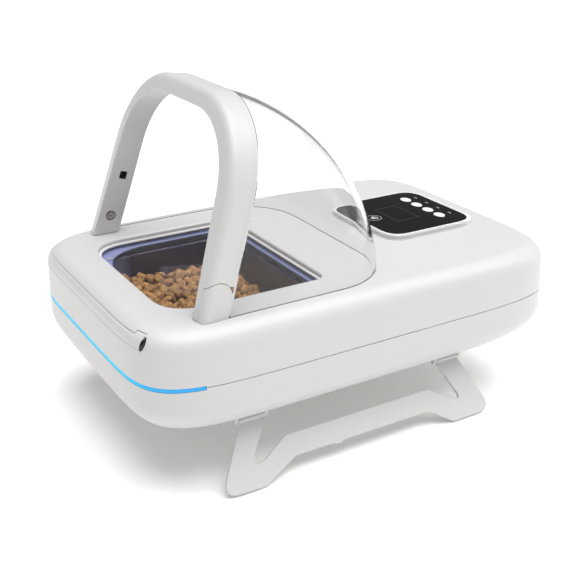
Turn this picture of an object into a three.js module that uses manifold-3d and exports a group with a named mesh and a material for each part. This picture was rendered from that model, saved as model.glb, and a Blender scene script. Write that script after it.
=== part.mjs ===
// Automatic pet feeder that opens for one tagged animal: a covered bowl under an antenna arch.
// Millimetres, +Z up, +X across the feeder, -Y is the front. The origin is on the table under the middle.
import * as THREE from "three";
import { mergeVertices } from "three/addons/utils/BufferGeometryUtils.js";
import Module from "manifold-3d";

const wasm = await Module();
wasm.setup();

// ---------------------------------------------------------------- driving dimensions
const touchGap = 0.3; // between two pieces that rest on each other
const seamGap = 0.4; // between two casing edges
const runGap = 0.25; // round a pin or a piece that slides

const bodyLength = 340;
const bodyWidth = 230;
const planPower = 6.8; // superellipse power of the casing's plan: bowed sides, soft corners
const planSteps = 40;
const underside = 42.5; // table to the belly
const partingHeight = 84.5;
const deckHeight = 120.5;
const wall = 2.8;
const deckWall = 3;
const deckRound = 12.6;
const bellyRun = 35;
const bellyRise = 28;
const sideDraft = 0.6;

const openingHalf = 71.5;
const openingFront = -137.5;
const openingRear = -19.7;
const openingFrontRound = 28;
const openingRearRound = 9;

const lidThickness = 2.2;
const lidOverlap = 7;
const lidTravel = 120;
const sealThickness = 1.3;
const railThickness = 2.4;

const bowlRim = 107.5;
const bowlDepth = 54;
const bowlWall = 2.5;
const bowlClearance = 2.4; // bowl flange to the deck opening, so that the bowl lifts out
const flangeWidth = 3.2;
const foodLevel = 89;
const foodCrown = 8;

const gearModule = 1.25;
const pinionTeeth = 16;
const gearWidth = 3.4;
const pinionY = 0;

const archLean = THREE.MathUtils.degToRad(17.5);
const pivotY = -113.6;
const pivotZ = 135.2;
const archDepth = 19.4;
const archBandWidth = 12.4;
const archHalfFoot = 84.7; // inner half width at the pivot
const archHalfTop = 72.3;
const archTop = 105.5; // inner height over the pivot, along the lean
const archShoulder = 51;
const archRound = 7;
const archFlare = 3; // the rear outline is this much larger at the crown
const archWall = 2.2;
const footRadius = 9.2;
const frontSeam = 2.6;
const rearSeam = 8;

const hoodRadius = 138.2;
const hoodWall = 2.6;
const hoodHalf = 98;
const hoodCorner = 50;

const panelWidth = 89;
const panelLength = 85.5;
const panelY = 99.4;
const panelHeight = 4.6; // over the deck
const panelRound = 19;
const panelBorder = 3.1;
const panelCutInset = 7; // panel's outline to the hole in the deck
const faceThickness = 1.5;
const buttonPitch = 14.7;
const buttonY = 120.8;
const buttonLength = 10.8;
const buttonWidth = 7.9;
const buttonTravel = 0.8;
const displayWidth = 32;
const displayLength = 21;
const displayY = 94;

const lightFrom = 38 - bodyLength / 2; // the light strip runs round the front from here
const lightHeight = 3.6;

const barHalf = 88;
const barLow = 108.3;
const barHigh = 116.5;
const barTravel = 2;

const standSplay = THREE.MathUtils.degToRad(32);
const standThickness = 3;
const standAxisX = bodyWidth / 2 - 23.8;
const standAxisZ = 40.6;
const standDrop = 46.4; // hinge axis to the foot's edge, along the plate
const standBarrel = 2.4;
const pinRadius = 1.3;
const lugWidth = 5;
const padHeight = 6;

const doorHalf = 62;
const doorFront = 62;
const doorRear = 128;
const cellRadius = 13.1;
const cellLength = 50;
const cellPitch = 28;

const bossRadius = 5;
const screwRadius = 1.5;
const headRadius = 3.2;
const headSeat = 11.5; // screw seat over the underside
const screwX = bodyWidth / 2 - 23;
const screwFront = 42 - bodyLength / 2;
const screwRear = bodyLength / 2 - 34;
const screwSpots = [
  [screwX, screwFront], [-screwX, screwFront], [screwX, screwRear], [-screwX, screwRear],
];

// ---------------------------------------------------------------- materials
function plastic(color, roughness, opacity = 1) {
  return new THREE.MeshStandardMaterial({
    color, roughness, metalness: 0, opacity, transparent: opacity < 1,
  });
}

function metal(color, roughness) {
  return new THREE.MeshStandardMaterial({ color, roughness, metalness: 1 });
}

const shellWhite = () => plastic(0xf1f1f0, 0.42);
const innerGrey = () => plastic(0xc9cacb, 0.6);
const clear = () => plastic(0xf4f7f8, 0.06, 0.25);
const steel = () => metal(0xb8babd, 0.35);

// ---------------------------------------------------------------- solids from three.js geometry
function solid(geometry) {
  const bare = geometry.index ? geometry.toNonIndexed() : geometry.clone();
  bare.deleteAttribute("normal");
  bare.deleteAttribute("uv");
  const merged = mergeVertices(bare, 1e-4);
  return new wasm.Manifold(new wasm.Mesh({
    numProp: 3,
    vertProperties: merged.attributes.position.array,
    triVerts: new Uint32Array(merged.index.array),
  }));
}

function geometryOf(body) {
  const mesh = body.getMesh();
  const geometry = new THREE.BufferGeometry();
  geometry.setAttribute("position", new THREE.BufferAttribute(mesh.vertProperties, 3));
  geometry.setIndex(new THREE.BufferAttribute(mesh.triVerts, 1));
  geometry.computeVertexNormals();
  return geometry;
}

function add(parent, name, body, material, place = [0, 0, 0]) {
  const mesh = new THREE.Mesh(geometryOf(body), material);
  mesh.name = name;
  mesh.position.set(...place);
  parent.add(mesh);
  return mesh;
}

// A box between two opposite corners.
function block(low, high) {
  const size = low.map((value, i) => high[i] - value);
  const middle = low.map((value, i) => (high[i] + value) / 2);
  return solid(new THREE.BoxGeometry(...size).translate(...middle));
}

// A round bar along x, y or z, from one end to the other, with its axis through the other two values.
function rod(radius, axis, from, to, across = [0, 0], sides = 20) {
  const geometry = new THREE.CylinderGeometry(radius, radius, to - from, sides);
  const middle = (from + to) / 2;
  if (axis === "x") geometry.rotateZ(-Math.PI / 2).translate(middle, across[0], across[1]);
  if (axis === "y") geometry.translate(across[0], middle, across[1]);
  if (axis === "z") geometry.rotateX(Math.PI / 2).translate(across[0], across[1], middle);
  return solid(geometry);
}

// A flat outline in X and Y, raised from z0 to z1.
function slab(shape, z0, z1, curveSegments = 6) {
  const options = { depth: z1 - z0, bevelEnabled: false, curveSegments };
  return solid(new THREE.ExtrudeGeometry(shape, options).translate(0, 0, z0));
}

// An outline drawn as (y, z), carried along X.
function slabAcross(shape, x0, x1, curveSegments = 6) {
  const options = { depth: x1 - x0, bevelEnabled: false, curveSegments };
  const geometry = new THREE.ExtrudeGeometry(shape, options);
  const turn = new THREE.Matrix4().set(0, 0, 1, x0, 1, 0, 0, 0, 0, 1, 0, 0, 0, 0, 0, 1);
  return solid(geometry.applyMatrix4(turn));
}

// A closed outline through corners [x, y, radius], each corner rounded.
function roundedOutline(corners) {
  const shape = new THREE.Shape();
  corners.forEach(([x, y, radius], i) => {
    const here = new THREE.Vector2(x, y);
    const before = corners.at(i - 1);
    const after = corners[(i + 1) % corners.length];
    const toBefore = new THREE.Vector2(before[0], before[1]).sub(here);
    const toAfter = new THREE.Vector2(after[0], after[1]).sub(here);
    const half = Math.abs(toBefore.angleTo(toAfter)) / 2;
    const wanted = radius / Math.tan(half);
    const cut = Math.min(wanted, toBefore.length() * 0.49, toAfter.length() * 0.49);
    const start = toBefore.setLength(cut).add(here);
    const end = toAfter.setLength(cut).add(here);
    if (i === 0) shape.moveTo(start.x, start.y);
    else shape.lineTo(start.x, start.y);
    if (cut > 0) shape.quadraticCurveTo(x, y, end.x, end.y);
  });
  shape.closePath();
  return shape;
}

function roundedBox(x0, y0, x1, y1, frontRound, rearRound = frontRound) {
  return roundedOutline([
    [x0, y0, frontRound], [x1, y0, frontRound], [x1, y1, rearRound], [x0, y1, rearRound],
  ]);
}

// A closed surface through rings of equal count, capped at both ends. Each ring lies in one plane and is
// given as 3-D points; flat(point) turns a ring's points into the 2-D points that its cap is cut from.
function loft(rings, flat) {
  const count = rings[0].length;
  const positions = rings.flat().flatMap((p) => [p.x, p.y, p.z]);
  const index = [];
  for (let r = 0; r + 1 < rings.length; r += 1) {
    for (let i = 0; i < count; i += 1) {
      const a = r * count + i;
      const b = r * count + ((i + 1) % count);
      index.push(a, b, b + count, a, b + count, a + count);
    }
  }
  const last = (rings.length - 1) * count;
  for (const [a, b, c] of THREE.ShapeUtils.triangulateShape(rings[0].map(flat), [])) index.push(c, b, a);
  for (const [a, b, c] of THREE.ShapeUtils.triangulateShape(rings.at(-1).map(flat), [])) {
    index.push(last + a, last + b, last + c);
  }
  const geometry = new THREE.BufferGeometry();
  geometry.setAttribute("position", new THREE.Float32BufferAttribute(positions, 3));
  geometry.setIndex(index);
  const body = solid(geometry);
  if (body.volume() > 0) return body;
  for (let i = 0; i < index.length; i += 3) [index[i], index[i + 1]] = [index[i + 1], index[i]];
  geometry.setIndex(index);
  return solid(geometry);
}

const flatXY = (p) => new THREE.Vector2(p.x, p.y);

// ---------------------------------------------------------------- the casing's own surface
function planRing(z, inset) {
  return Array.from({ length: planSteps }, (_, i) => {
    const turn = (2 * Math.PI * (i + 0.5)) / planSteps;
    const bow = (value) => Math.sign(value) * Math.abs(value) ** (2 / planPower);
    return new THREE.Vector3(
      (bodyWidth / 2 - inset) * bow(Math.cos(turn)),
      (bodyLength / 2 - inset) * bow(Math.sin(turn)),
      z,
    );
  });
}

// The whole casing as one solid, shrunk by inset, between two heights.
function casingSolid(inset, low, high, steps = 4) {
  const floor = underside + inset;
  const roof = deckHeight - Math.max(0, inset > 0 ? deckWall - wall + inset : inset);
  const levels = [];
  const run = bellyRun - inset;
  const rise = bellyRise - inset;
  for (let i = 0; i <= steps; i += 1) {
    const q = (Math.PI / 2) * (1 - i / steps);
    levels.push([floor + rise * (1 - Math.sin(q)), run * (1 - Math.cos(q))]);
  }
  levels.push([partingHeight, 0]);
  const round = deckRound - inset;
  for (let i = 0; i <= steps; i += 1) {
    const q = ((Math.PI / 2) * i) / steps;
    levels.push([roof - round * (1 - Math.sin(q)), sideDraft + round * (1 - Math.cos(q))]);
  }
  const whole = loft(levels.map(([z, extra]) => planRing(z, inset + extra)), flatXY);
  return whole.intersect(block([-bodyWidth, -bodyLength, low], [bodyWidth, bodyLength, high]));
}

// A closed wall that follows the casing's side, between two insets and two heights.
function sideBand(outerInset, innerInset, low, high) {
  const outer = loft([planRing(low, outerInset), planRing(high, outerInset)], flatXY);
  const inner = loft([planRing(low - 1, innerInset), planRing(high + 1, innerInset)], flatXY);
  return outer.subtract(inner);
}

const deckUnder = deckHeight - deckWall;
const floorTop = underside + wall;
const sealTop = deckUnder - touchGap;
const lidTop = sealTop - sealThickness - touchGap;
const lidUnder = lidTop - lidThickness;

function openingCut(grow, z0, z1) {
  const shape = roundedBox(
    -openingHalf - grow, openingFront - grow, openingHalf + grow, openingRear + grow,
    openingFrontRound + grow, openingRearRound + grow,
  );
  return slab(shape, z0, z1);
}

function lightCut(depth, gap) {
  const half = lightHeight / 2 + gap;
  return block(
    [-bodyWidth, -bodyLength, partingHeight - half],
    [bodyWidth, lightFrom + gap, partingHeight + half],
  ).intersect(sideBand(-1, depth, partingHeight - half, partingHeight + half));
}

const archFrame = new THREE.Group();
archFrame.position.set(0, pivotY, pivotZ);
archFrame.rotation.x = -archLean;
archFrame.updateMatrixWorld();

// Everything under the deck, as a solid in the arch's leaning frame.
function underDeck(gap) {
  const reach = 400;
  const geometry = new THREE.BoxGeometry(reach, reach, reach);
  geometry.translate(0, 0, deckHeight + gap - reach / 2);
  return solid(geometry.applyMatrix4(archFrame.matrixWorld.clone().invert()));
}

const root = new THREE.Group();

// ---------------------------------------------------------------- casings
const lightDepth = wall + seamGap;
const ledInset = lightDepth + touchGap;
const ledThickness = 1.4;

function upperCasing() {
  const low = partingHeight + seamGap / 2;
  let body = casingSolid(0, low, deckHeight + 1);
  body = body.subtract(casingSolid(wall, low - 1, deckHeight));
  for (const [x, y] of screwSpots) {
    body = body.add(rod(bossRadius, "z", low, deckUnder + 1, [x, y], 16));
    body = body.subtract(rod(screwRadius + runGap, "z", low - 1, deckUnder - 8, [x, y], 8));
  }
  body = body.subtract(openingCut(0, deckUnder - 2, deckHeight + 2));
  body = body.subtract(lightCut(lightDepth, touchGap));
  body = body.subtract(slab(panelOutline(panelCutInset), deckUnder - 2, deckHeight + 2));
  return body.subtract(block(
    [-barHalf, -bodyLength, barLow],
    [barHalf, -bodyLength / 2 + deckRound + barTravel + seamGap, barHigh],
  ));
}

function frontBar() {
  let body = casingSolid(0, barLow + seamGap, barHigh - seamGap);
  body = body.subtract(casingSolid(wall, barLow - 1, barHigh + 1));
  return body.intersect(block(
    [-barHalf + seamGap, -bodyLength, barLow],
    [barHalf - seamGap, -bodyLength / 2 + deckRound, barHigh],
  ));
}

function standLugSpots() {
  const clear = runGap;
  return standLegTops.flatMap(([front, rear]) => [
    [front - clear - lugWidth, front - clear], [rear + clear, rear + clear + lugWidth],
  ]);
}

function lowerCasing() {
  const high = partingHeight - seamGap / 2;
  let body = casingSolid(0, underside - 1, high);
  for (const side of [-1, 1]) {
    for (const [y0, y1] of standLugSpots()) {
      const edges = [standAxisX - standBarrel, standAxisX + standBarrel].map((x) => side * x);
      edges.sort((a, b) => a - b);
      body = body.add(block([edges[0], y0, standAxisZ], [edges[1], y1, floorTop + 2]));
      body = body.add(rod(standBarrel, "y", y0, y1, [side * standAxisX, standAxisZ], 12));
      const hole = rod(pinRadius + runGap, "y", y0 - 1, y1 + 1, [side * standAxisX, standAxisZ], 12);
      body = body.subtract(hole);
    }
  }
  body = body.subtract(casingSolid(wall, underside, high + 1));
  const lip = sideBand(wall + touchGap, wall + touchGap + 1.4, high - 4, high + 3);
  const front = block([-bodyWidth, -bodyLength, high - 5], [bodyWidth, lightFrom + 6, high + 5]);
  body = body.add(lip.subtract(front));
  body = body.add(sideBand(wall - 0.5, wall + touchGap + 1.4, high - 6, high - 4));
  for (const [x, y] of screwSpots) {
    const boss = rod(bossRadius, "z", underside, high, [x, y], 16);
    body = body.add(boss.intersect(casingSolid(0, underside - 1, high)));
    body = body.subtract(rod(headRadius + 0.8, "z", underside - 2, underside + headSeat, [x, y], 12));
    body = body.subtract(rod(screwRadius + runGap, "z", underside, high + 1, [x, y], 8));
  }
  body = body.subtract(lightCut(lightDepth, touchGap));
  const hole = roundedBox(-doorHalf, doorFront, doorHalf, doorRear, 4);
  return body.subtract(slab(hole, underside - 1, floorTop + 2));
}

function lightStrip() {
  const half = lightHeight / 2;
  const low = partingHeight - half;
  const band = sideBand(0.1, lightDepth, low, partingHeight + half);
  const front = block([-bodyWidth, -bodyLength, low - 1], [bodyWidth, lightFrom, partingHeight + half + 1]);
  return band.intersect(front);
}

function ledBoard() {
  const band = sideBand(ledInset, ledInset + ledThickness, partingHeight - 4, partingHeight + 4);
  return band.intersect(block([-bodyWidth, -bodyLength, 0], [bodyWidth, lightFrom + 4, deckHeight]));
}

function batteryDoor() {
  const gap = seamGap;
  const panel = slab(
    roundedBox(-doorHalf + gap, doorFront + gap, doorHalf - gap, doorRear - gap, 4 - gap),
    underside, underside + 2,
  );
  const rib = (x) => block([x - 1, doorFront + 6, underside + 1.5], [x + 1, doorRear - 6, underside + 3.6]);
  const pull = rod(8, "z", underside - 1, underside + 0.9, [0, doorFront + 16], 24);
  return panel.add(rib(-36)).add(rib(36)).subtract(pull);
}

// ---------------------------------------------------------------- stands
// Tops of the two legs of a stand, front to rear, where the hinge barrels are.
const standLegTops = [[-100.5, -81], [66.5, 85.7]];

// Stand outline as (y, height over the foot's edge): two legs, their feet and the raised beam between.
function standOutline() {
  const [[frontOut, frontIn], [rearIn, rearOut]] = standLegTops;
  const top = standDrop;
  const knuckle = top - standBarrel - 1;
  return roundedOutline([
    [frontOut, top, 0], [frontOut, knuckle, 2], [-126.5, 0, 9], [-93, 0, 4], [-66.5, 12.8, 5],
    [47.5, 12.8, 5], [66.5, 0, 4], [103, 0, 9], [rearOut, knuckle, 2], [rearOut, top, 0],
    [rearIn, top, 0], [rearIn, knuckle, 2], [78, 15, 3.5], [70, 15.6, 5], [52, 28.2, 9],
    [-70, 28.2, 9], [-89, 16.6, 5], [-99.8, 15.6, 3.5], [frontIn, knuckle, 2], [frontIn, top, 0],
  ]);
}

function standPlate() {
  let body = slabAcross(standOutline(), -standThickness / 2, standThickness / 2, 4);
  body = body.translate([0, 0, -standDrop]);
  for (const [y0, y1] of standLegTops) {
    body = body.add(rod(standBarrel, "y", y0, y1, [0, 0], 12));
    body = body.subtract(rod(pinRadius + runGap, "y", y0 - 1, y1 + 1, [0, 0], 12));
  }
  return body;
}

// A rubber pad behind each foot, flat on the table.
function footPad(side, y0, y1) {
  const slope = Math.tan(standSplay);
  const faceShift = (standThickness / 2 + touchGap) / Math.cos(standSplay);
  const face = (z) => standAxisX + (standAxisZ - z) * slope - faceShift;
  const profile = roundedOutline([
    [face(0), 0, 0], [face(padHeight), padHeight, 0], [face(padHeight) - 4, padHeight, 1.5],
    [face(0) - 9, 0, 0],
  ]);
  const geometry = new THREE.ExtrudeGeometry(profile, { depth: y1 - y0, bevelEnabled: false });
  const turn = new THREE.Matrix4().set(side, 0, 0, 0, 0, 0, -side, side > 0 ? y1 : y0, 0, 1, 0, 0, 0, 0, 0, 1);
  return solid(geometry.applyMatrix4(turn));
}

function addStands() {
  for (const [side, word] of [[-1, "left"], [1, "right"]]) {
    const hinge = new THREE.Group();
    hinge.position.set(side * standAxisX, 0, standAxisZ);
    hinge.rotation.y = -side * standSplay;
    root.add(hinge);
    add(hinge, `stand_${word}`, standPlate(), shellWhite());
    add(root, `foot_pad_${word}_front`, footPad(side, -112, -97), plastic(0x3a3b3d, 0.9));
    add(root, `foot_pad_${word}_rear`, footPad(side, 70, 88), plastic(0x3a3b3d, 0.9));
    standLegTops.forEach(([y0, y1], i) => {
      const reach = lugWidth + runGap;
      const pin = rod(pinRadius, "y", y0 - reach, y1 + reach, [0, 0], 8);
      const place = [side * standAxisX, 0, standAxisZ];
      add(root, `stand_pin_${word}_${i ? "rear" : "front"}`, pin, steel(), place);
    });
  }
}

// ---------------------------------------------------------------- lid and its drive
const runnerInner = openingHalf + 3;
const lidHalf = openingHalf + lidOverlap;
const lidFront = openingFront - 4;
const lidRear = openingRear + 9;
const carrierTop = lidUnder - touchGap;
const carrierUnder = carrierTop - 1.3;
const carrierRear = pinionY + 7;
const rackOuter = runnerInner - 0.4;
const rackInner = rackOuter - gearWidth;
const pinionRadius = (gearModule * pinionTeeth) / 2;
const rackRoot = carrierUnder - 0.2;
const pitchLine = rackRoot - 1.25 * gearModule;
const pinionZ = pitchLine - pinionRadius;
const backlash = 0.12;

function lidPane() {
  return slab(roundedBox(-lidHalf, lidFront, lidHalf, lidRear, 10, 5), lidUnder, lidTop);
}

// Straight teeth that point down, one pitch apart, with a tooth space over the pinion.
function rack() {
  const pitch = Math.PI * gearModule;
  const slope = Math.tan(THREE.MathUtils.degToRad(20));
  const halfTooth = pitch / 4 - backlash;
  const tip = pitchLine - gearModule;
  const shape = new THREE.Shape();
  const last = pinionY + 1.5 * pitch;
  const first = last - pitch * Math.ceil((lidTravel + 3 * pitch) / pitch);
  shape.moveTo(first - pitch / 2, carrierTop);
  shape.lineTo(first - pitch / 2, rackRoot);
  for (let y = first; y <= last + 0.01; y += pitch) {
    const rootHalf = halfTooth + slope * (rackRoot - pitchLine);
    const tipHalf = halfTooth - slope * (pitchLine - tip);
    shape.lineTo(y - rootHalf, rackRoot);
    shape.lineTo(y - tipHalf, tip);
    shape.lineTo(y + tipHalf, tip);
    shape.lineTo(y + rootHalf, rackRoot);
  }
  shape.lineTo(last + pitch / 2, rackRoot);
  shape.lineTo(last + pitch / 2, carrierTop);
  return slabAcross(shape, rackInner, rackOuter);
}

function lidCarrier() {
  const runner = (x0, x1) => block([x0, lidFront + 6, carrierUnder], [x1, carrierRear, carrierTop]);
  const rearBar = block([-lidHalf + 0.4, lidRear - 7, carrierUnder], [lidHalf - 0.4, carrierRear, carrierTop]);
  const upstand = block([-lidHalf + 0.4, lidRear + touchGap, carrierUnder],
    [lidHalf - 0.4, lidRear + 3, lidTop]);
  const rib = block([-58, lidRear - 2, carrierUnder - 3], [58, lidRear + 1, carrierTop]);
  let body = runner(-lidHalf + 0.4, -runnerInner).add(runner(rackInner, lidHalf - 0.4));
  body = body.add(rearBar).add(upstand).add(rib);
  return body.add(rack());
}

// An involute spur gear about its own axis, drawn in (y, z), with a tooth on +Z.
function gearOutline(teeth) {
  const pitchRadius = (gearModule * teeth) / 2;
  const pressure = THREE.MathUtils.degToRad(20);
  const base = pitchRadius * Math.cos(pressure);
  const tip = pitchRadius + gearModule;
  const rootRadius = pitchRadius - 1.25 * gearModule;
  const involute = (angle) => Math.tan(angle) - angle;
  const halfAtPitch = Math.PI / (2 * teeth) - backlash / pitchRadius;
  const halfAt = (radius) => halfAtPitch + involute(pressure)
    - involute(Math.acos(Math.min(1, base / radius)));
  const flank = [0, 0.5, 1].map((f) => base + 0.05 + f * (tip - base - 0.05));
  const points = [];
  const put = (radius, angle) => points.push(
    new THREE.Vector2(-radius * Math.sin(angle), radius * Math.cos(angle)),
  );
  for (let tooth = 0; tooth < teeth; tooth += 1) {
    const middle = (2 * Math.PI * tooth) / teeth;
    put(rootRadius, middle - halfAt(base + 0.05) - 0.03);
    flank.forEach((radius) => put(radius, middle - halfAt(radius)));
    flank.slice().reverse().forEach((radius) => put(radius, middle + halfAt(radius)));
    put(rootRadius, middle + halfAt(base + 0.05) + 0.03);
  }
  return new THREE.Shape(points);
}

function pinion() {
  const gear = slabAcross(gearOutline(pinionTeeth), rackInner, rackOuter);
  return gear.subtract(rod(2 + touchGap, "x", rackInner - 1, rackOuter + 1, [0, 0], 16));
}

function lidRail(side) {
  const web = [lidHalf + runGap, lidHalf + runGap + railThickness];
  const flangeTop = carrierUnder - runGap;
  const flangeInner = runnerInner + 0.3;
  const y0 = lidFront - 2;
  const y1 = lidRear + lidTravel + 14;
  const profile = new THREE.Shape([
    [web[1], deckUnder - touchGap], [web[0], deckUnder - touchGap], [web[0], flangeTop],
    [flangeInner, flangeTop], [flangeInner, flangeTop - railThickness], [web[1], flangeTop - railThickness],
  ].map(([x, z]) => new THREE.Vector2(side * x, z)));
  const geometry = new THREE.ExtrudeGeometry(profile, { depth: y1 - y0, bevelEnabled: false });
  return solid(geometry.rotateX(Math.PI / 2).translate(0, y1, 0));
}

function openingSeal() {
  return openingCut(5, sealTop - sealThickness, sealTop)
    .subtract(openingCut(-1.2, sealTop - sealThickness - 1, sealTop + 1));
}

function addLid() {
  add(root, "opening_seal", openingSeal(), plastic(0x9da0a3, 0.8));
  add(root, "lid_rail_left", lidRail(-1), innerGrey());
  add(root, "lid_rail_right", lidRail(1), innerGrey());
  add(root, "lid_pane", lidPane(), plastic(0x8f8fb4, 0.08, 0.4));
  add(root, "lid_carrier", lidCarrier(), innerGrey());
  add(root, "lid_pinion", pinion(), plastic(0xe9e4d4, 0.5), [0, pinionY, pinionZ]);
  const shaft = rod(2, "x", rackInner - 12, rackOuter - 0.2, [0, 0], 16);
  add(root, "pinion_shaft", shaft, steel(), [0, pinionY, pinionZ]);
  const boxX = [rackInner - 30, rackInner - 1.2];
  let gearbox = block([boxX[0], pinionY - 13, pinionZ - 15], [boxX[1], pinionY + 24, pinionZ + 7]);
  gearbox = gearbox.subtract(rod(2 + touchGap, "x", rackInner - 12.5, boxX[1] + 1, [pinionY, pinionZ], 16));
  add(root, "gearbox", gearbox, plastic(0x55585c, 0.55));
  const can = rod(10, "x", boxX[0] - touchGap - 32, boxX[0] - touchGap, [pinionY + 10, pinionZ - 4], 24);
  add(root, "gear_motor", can, steel());
}

// ---------------------------------------------------------------- bowl
const bowlHalf = openingHalf - bowlClearance;
const bowlFront = openingFront + bowlClearance;
const bowlRear = openingRear - bowlClearance;
const flangeUnder = bowlRim - 2;

function bowlOutline(inset) {
  return roundedBox(
    -bowlHalf + inset, bowlFront + inset, bowlHalf - inset, bowlRear - inset,
    Math.max(6, openingFrontRound - bowlClearance - inset * 0.6), Math.max(6, 14 - inset * 0.5),
  );
}

// A tub that narrows downwards from the rim, with a round foot: rings of one outline, shrunk.
function tub(inset, bottom, top, draft, foot) {
  const ring = (z, extra) => bowlOutline(inset + extra).getPoints(5)
    .slice(0, -1)
    .map((p) => new THREE.Vector3(p.x, p.y, z));
  const rings = [];
  for (let i = 0; i <= 4; i += 1) {
    const q = (Math.PI / 2) * (1 - i / 4);
    rings.push(ring(bottom + foot * (1 - Math.sin(q)), draft + foot * (1 - Math.cos(q))));
  }
  rings.push(ring(top, 0));
  return loft(rings, flatXY);
}

function feedBowl() {
  const outer = tub(flangeWidth, bowlRim - bowlDepth, bowlRim, 5, 12);
  const inner = tub(flangeWidth + bowlWall, bowlRim - bowlDepth + bowlWall, bowlRim + 0.5, 5, 10);
  return outer.add(slab(bowlOutline(0), flangeUnder, bowlRim)).subtract(inner);
}

function foodHeap() {
  const inset = flangeWidth + bowlWall + 0.6;
  const heap = tub(inset, bowlRim - bowlDepth + bowlWall + 0.6, bowlRim, 5, 10);
  const flat = heap.intersect(block([-200, -200, 0], [200, 200, foodLevel]));
  const middle = (bowlFront + bowlRear) / 2;
  const dome = solid(new THREE.SphereGeometry(1, 24, 12)
    .scale(bowlHalf - inset - 8, (bowlRear - bowlFront) / 2 - inset - 8, foodCrown + 4)
    .translate(0, middle, foodLevel - 4));
  return flat.add(dome);
}

function bowlCradle() {
  const top = flangeUnder - touchGap;
  const plate = slab(
    roundedBox(-bowlHalf - 18, bowlFront - 12, bowlHalf + 18, bowlRear + 6, 30, 10), top - 2.4, top,
  );
  let body = plate;
  for (const x of [-bowlHalf - 6, bowlHalf + 6]) {
    for (const y of [bowlFront + 16, bowlRear - 8]) {
      body = body.add(rod(3.6, "z", floorTop + touchGap, top - 1, [x, y], 16));
    }
  }
  body = body.intersect(casingSolid(wall + touchGap, underside, deckHeight));
  return body.subtract(slab(bowlOutline(flangeWidth - 0.8), top - 4, top + 1));
}

// ---------------------------------------------------------------- arch and hood, in the leaning frame
const midBand = archBandWidth / 2;
const legSteps = 4;

// Arch outline over the pivot: legs that lean in, round shoulders and a flat crown, from +X to -X.
function archOutline(halfFoot, halfTop, top, shoulder, from) {
  const leg = new THREE.Vector2(halfTop - halfFoot, top).normalize();
  const turn = Math.acos(-leg.x);
  const reach = shoulder * Math.tan(turn / 2);
  const start = new THREE.Vector2(halfTop, top).addScaledVector(leg, -reach);
  const centre = new THREE.Vector2(start.x - leg.y * shoulder, start.y + leg.x * shoulder);
  const firstAngle = Math.atan2(start.y - centre.y, start.x - centre.x);
  const half = [];
  for (let i = 0; i < legSteps; i += 1) {
    const up = from + ((start.y - from) * i) / legSteps;
    half.push(new THREE.Vector2(halfFoot + (up * leg.x) / leg.y, up));
  }
  const steps = 8;
  for (let i = 0; i <= steps; i += 1) {
    const angle = firstAngle + ((Math.PI / 2 - firstAngle) * i) / steps;
    half.push(new THREE.Vector2(centre.x + shoulder * Math.cos(angle), centre.y + shoulder * Math.sin(angle)));
  }
  return half.concat(half.slice().reverse().map((p) => new THREE.Vector2(-p.x, p.y)));
}

function grownArch(grow, depthShare, from) {
  const flare = archFlare * depthShare;
  return archOutline(
    archHalfFoot + grow, archHalfTop + grow + flare, archTop + grow + flare, archShoulder + grow, from,
  );
}

// The arch's band between two growths and two depths, with a round front outer edge.
function archBand(inner, outer, front, rear, round, from = -40) {
  const section = (y, pull) => {
    const share = (y + archDepth / 2) / archDepth;
    const over = grownArch(outer - pull, share, from);
    const under = grownArch(inner, share, from).reverse();
    return over.concat(under).map((p) => new THREE.Vector3(p.x, y, p.y));
  };
  const rings = [];
  const steps = round ? 4 : 0;
  for (let i = 0; i <= steps; i += 1) {
    const q = steps ? ((Math.PI / 2) * i) / steps : 0;
    rings.push(section(front + round * (1 - Math.cos(q)), round * (1 - Math.sin(q))));
  }
  rings.push(section(rear, 0));
  return loft(rings, (p) => new THREE.Vector2(p.x, p.z));
}

// Round about the pivot, and the straight shoulders in front of it and behind it.
function footZone(radius, grow) {
  return rod(radius, "x", -200, 200, [0, 0], 48)
    .add(block([-200, -60, -80], [200, 0, frontSeam + grow]))
    .add(block([-200, 0, -80], [200, 60, grow > 0 ? rearSeam : 0]));
}

function archFrontShell() {
  const half = archDepth / 2;
  const rear = half - archWall - touchGap;
  let body = archBand(0, archBandWidth, -half, rear, archRound);
  const hollowRound = (archBandWidth - 2 * archWall) * 0.85;
  const hollow = archBand(archWall, archBandWidth - archWall, -half + archWall, half + 1, hollowRound);
  body = body.subtract(hollow.intersect(block([-200, -50, 16], [200, 50, 200])));
  const outerHalf = archBand(midBand - touchGap, archBandWidth + 4, -half - 1, half + 4, 0);
  body = body.subtract(outerHalf.intersect(footZone(footRadius + seamGap, touchGap)));
  const deckReach = (pivotZ - deckHeight) - 0.8;
  const cheekEnd = block([-200, -60, -80], [200, 60, 0])
    .subtract(rod(deckReach, "x", -200, 200, [0, 0], 48));
  body = body.subtract(cheekEnd).subtract(underDeck(0.5));
  for (const side of [-1, 1]) {
    const inside = side * (archHalfFoot - 4);
    const out = side * (archHalfFoot + archBandWidth);
    const span = [inside, out].sort((a, b) => a - b);
    body = body.subtract(rod(screwRadius + 0.5, "x", span[0], span[1], [0, 0], 16));
    const seat = [side * (archHalfFoot - 4), side * (archHalfFoot + 2.4)].sort((a, b) => a - b);
    body = body.subtract(rod(headRadius + 0.6, "x", seat[0], seat[1], [0, 0], 20));
    body = body.subtract(sensorCut(side, touchGap));
  }
  return body;
}

const sensorHeight = 33;

// The small square window in the arch's inner face, and the hole for it.
function sensorCut(side, gap) {
  const inner = grownArch(0, 0.5, 0);
  const slope = (inner[1].x - inner[0].x) / (inner[1].y - inner[0].y);
  const face = archHalfFoot + slope * sensorHeight;
  const half = 2.6 + gap;
  const span = [side * (face + 0.3 - gap * 8), side * (face + archWall + 1.5)].sort((a, b) => a - b);
  return block([span[0], 1 - half, sensorHeight - half], [span[1], 1 + half, sensorHeight + half]);
}

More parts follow.
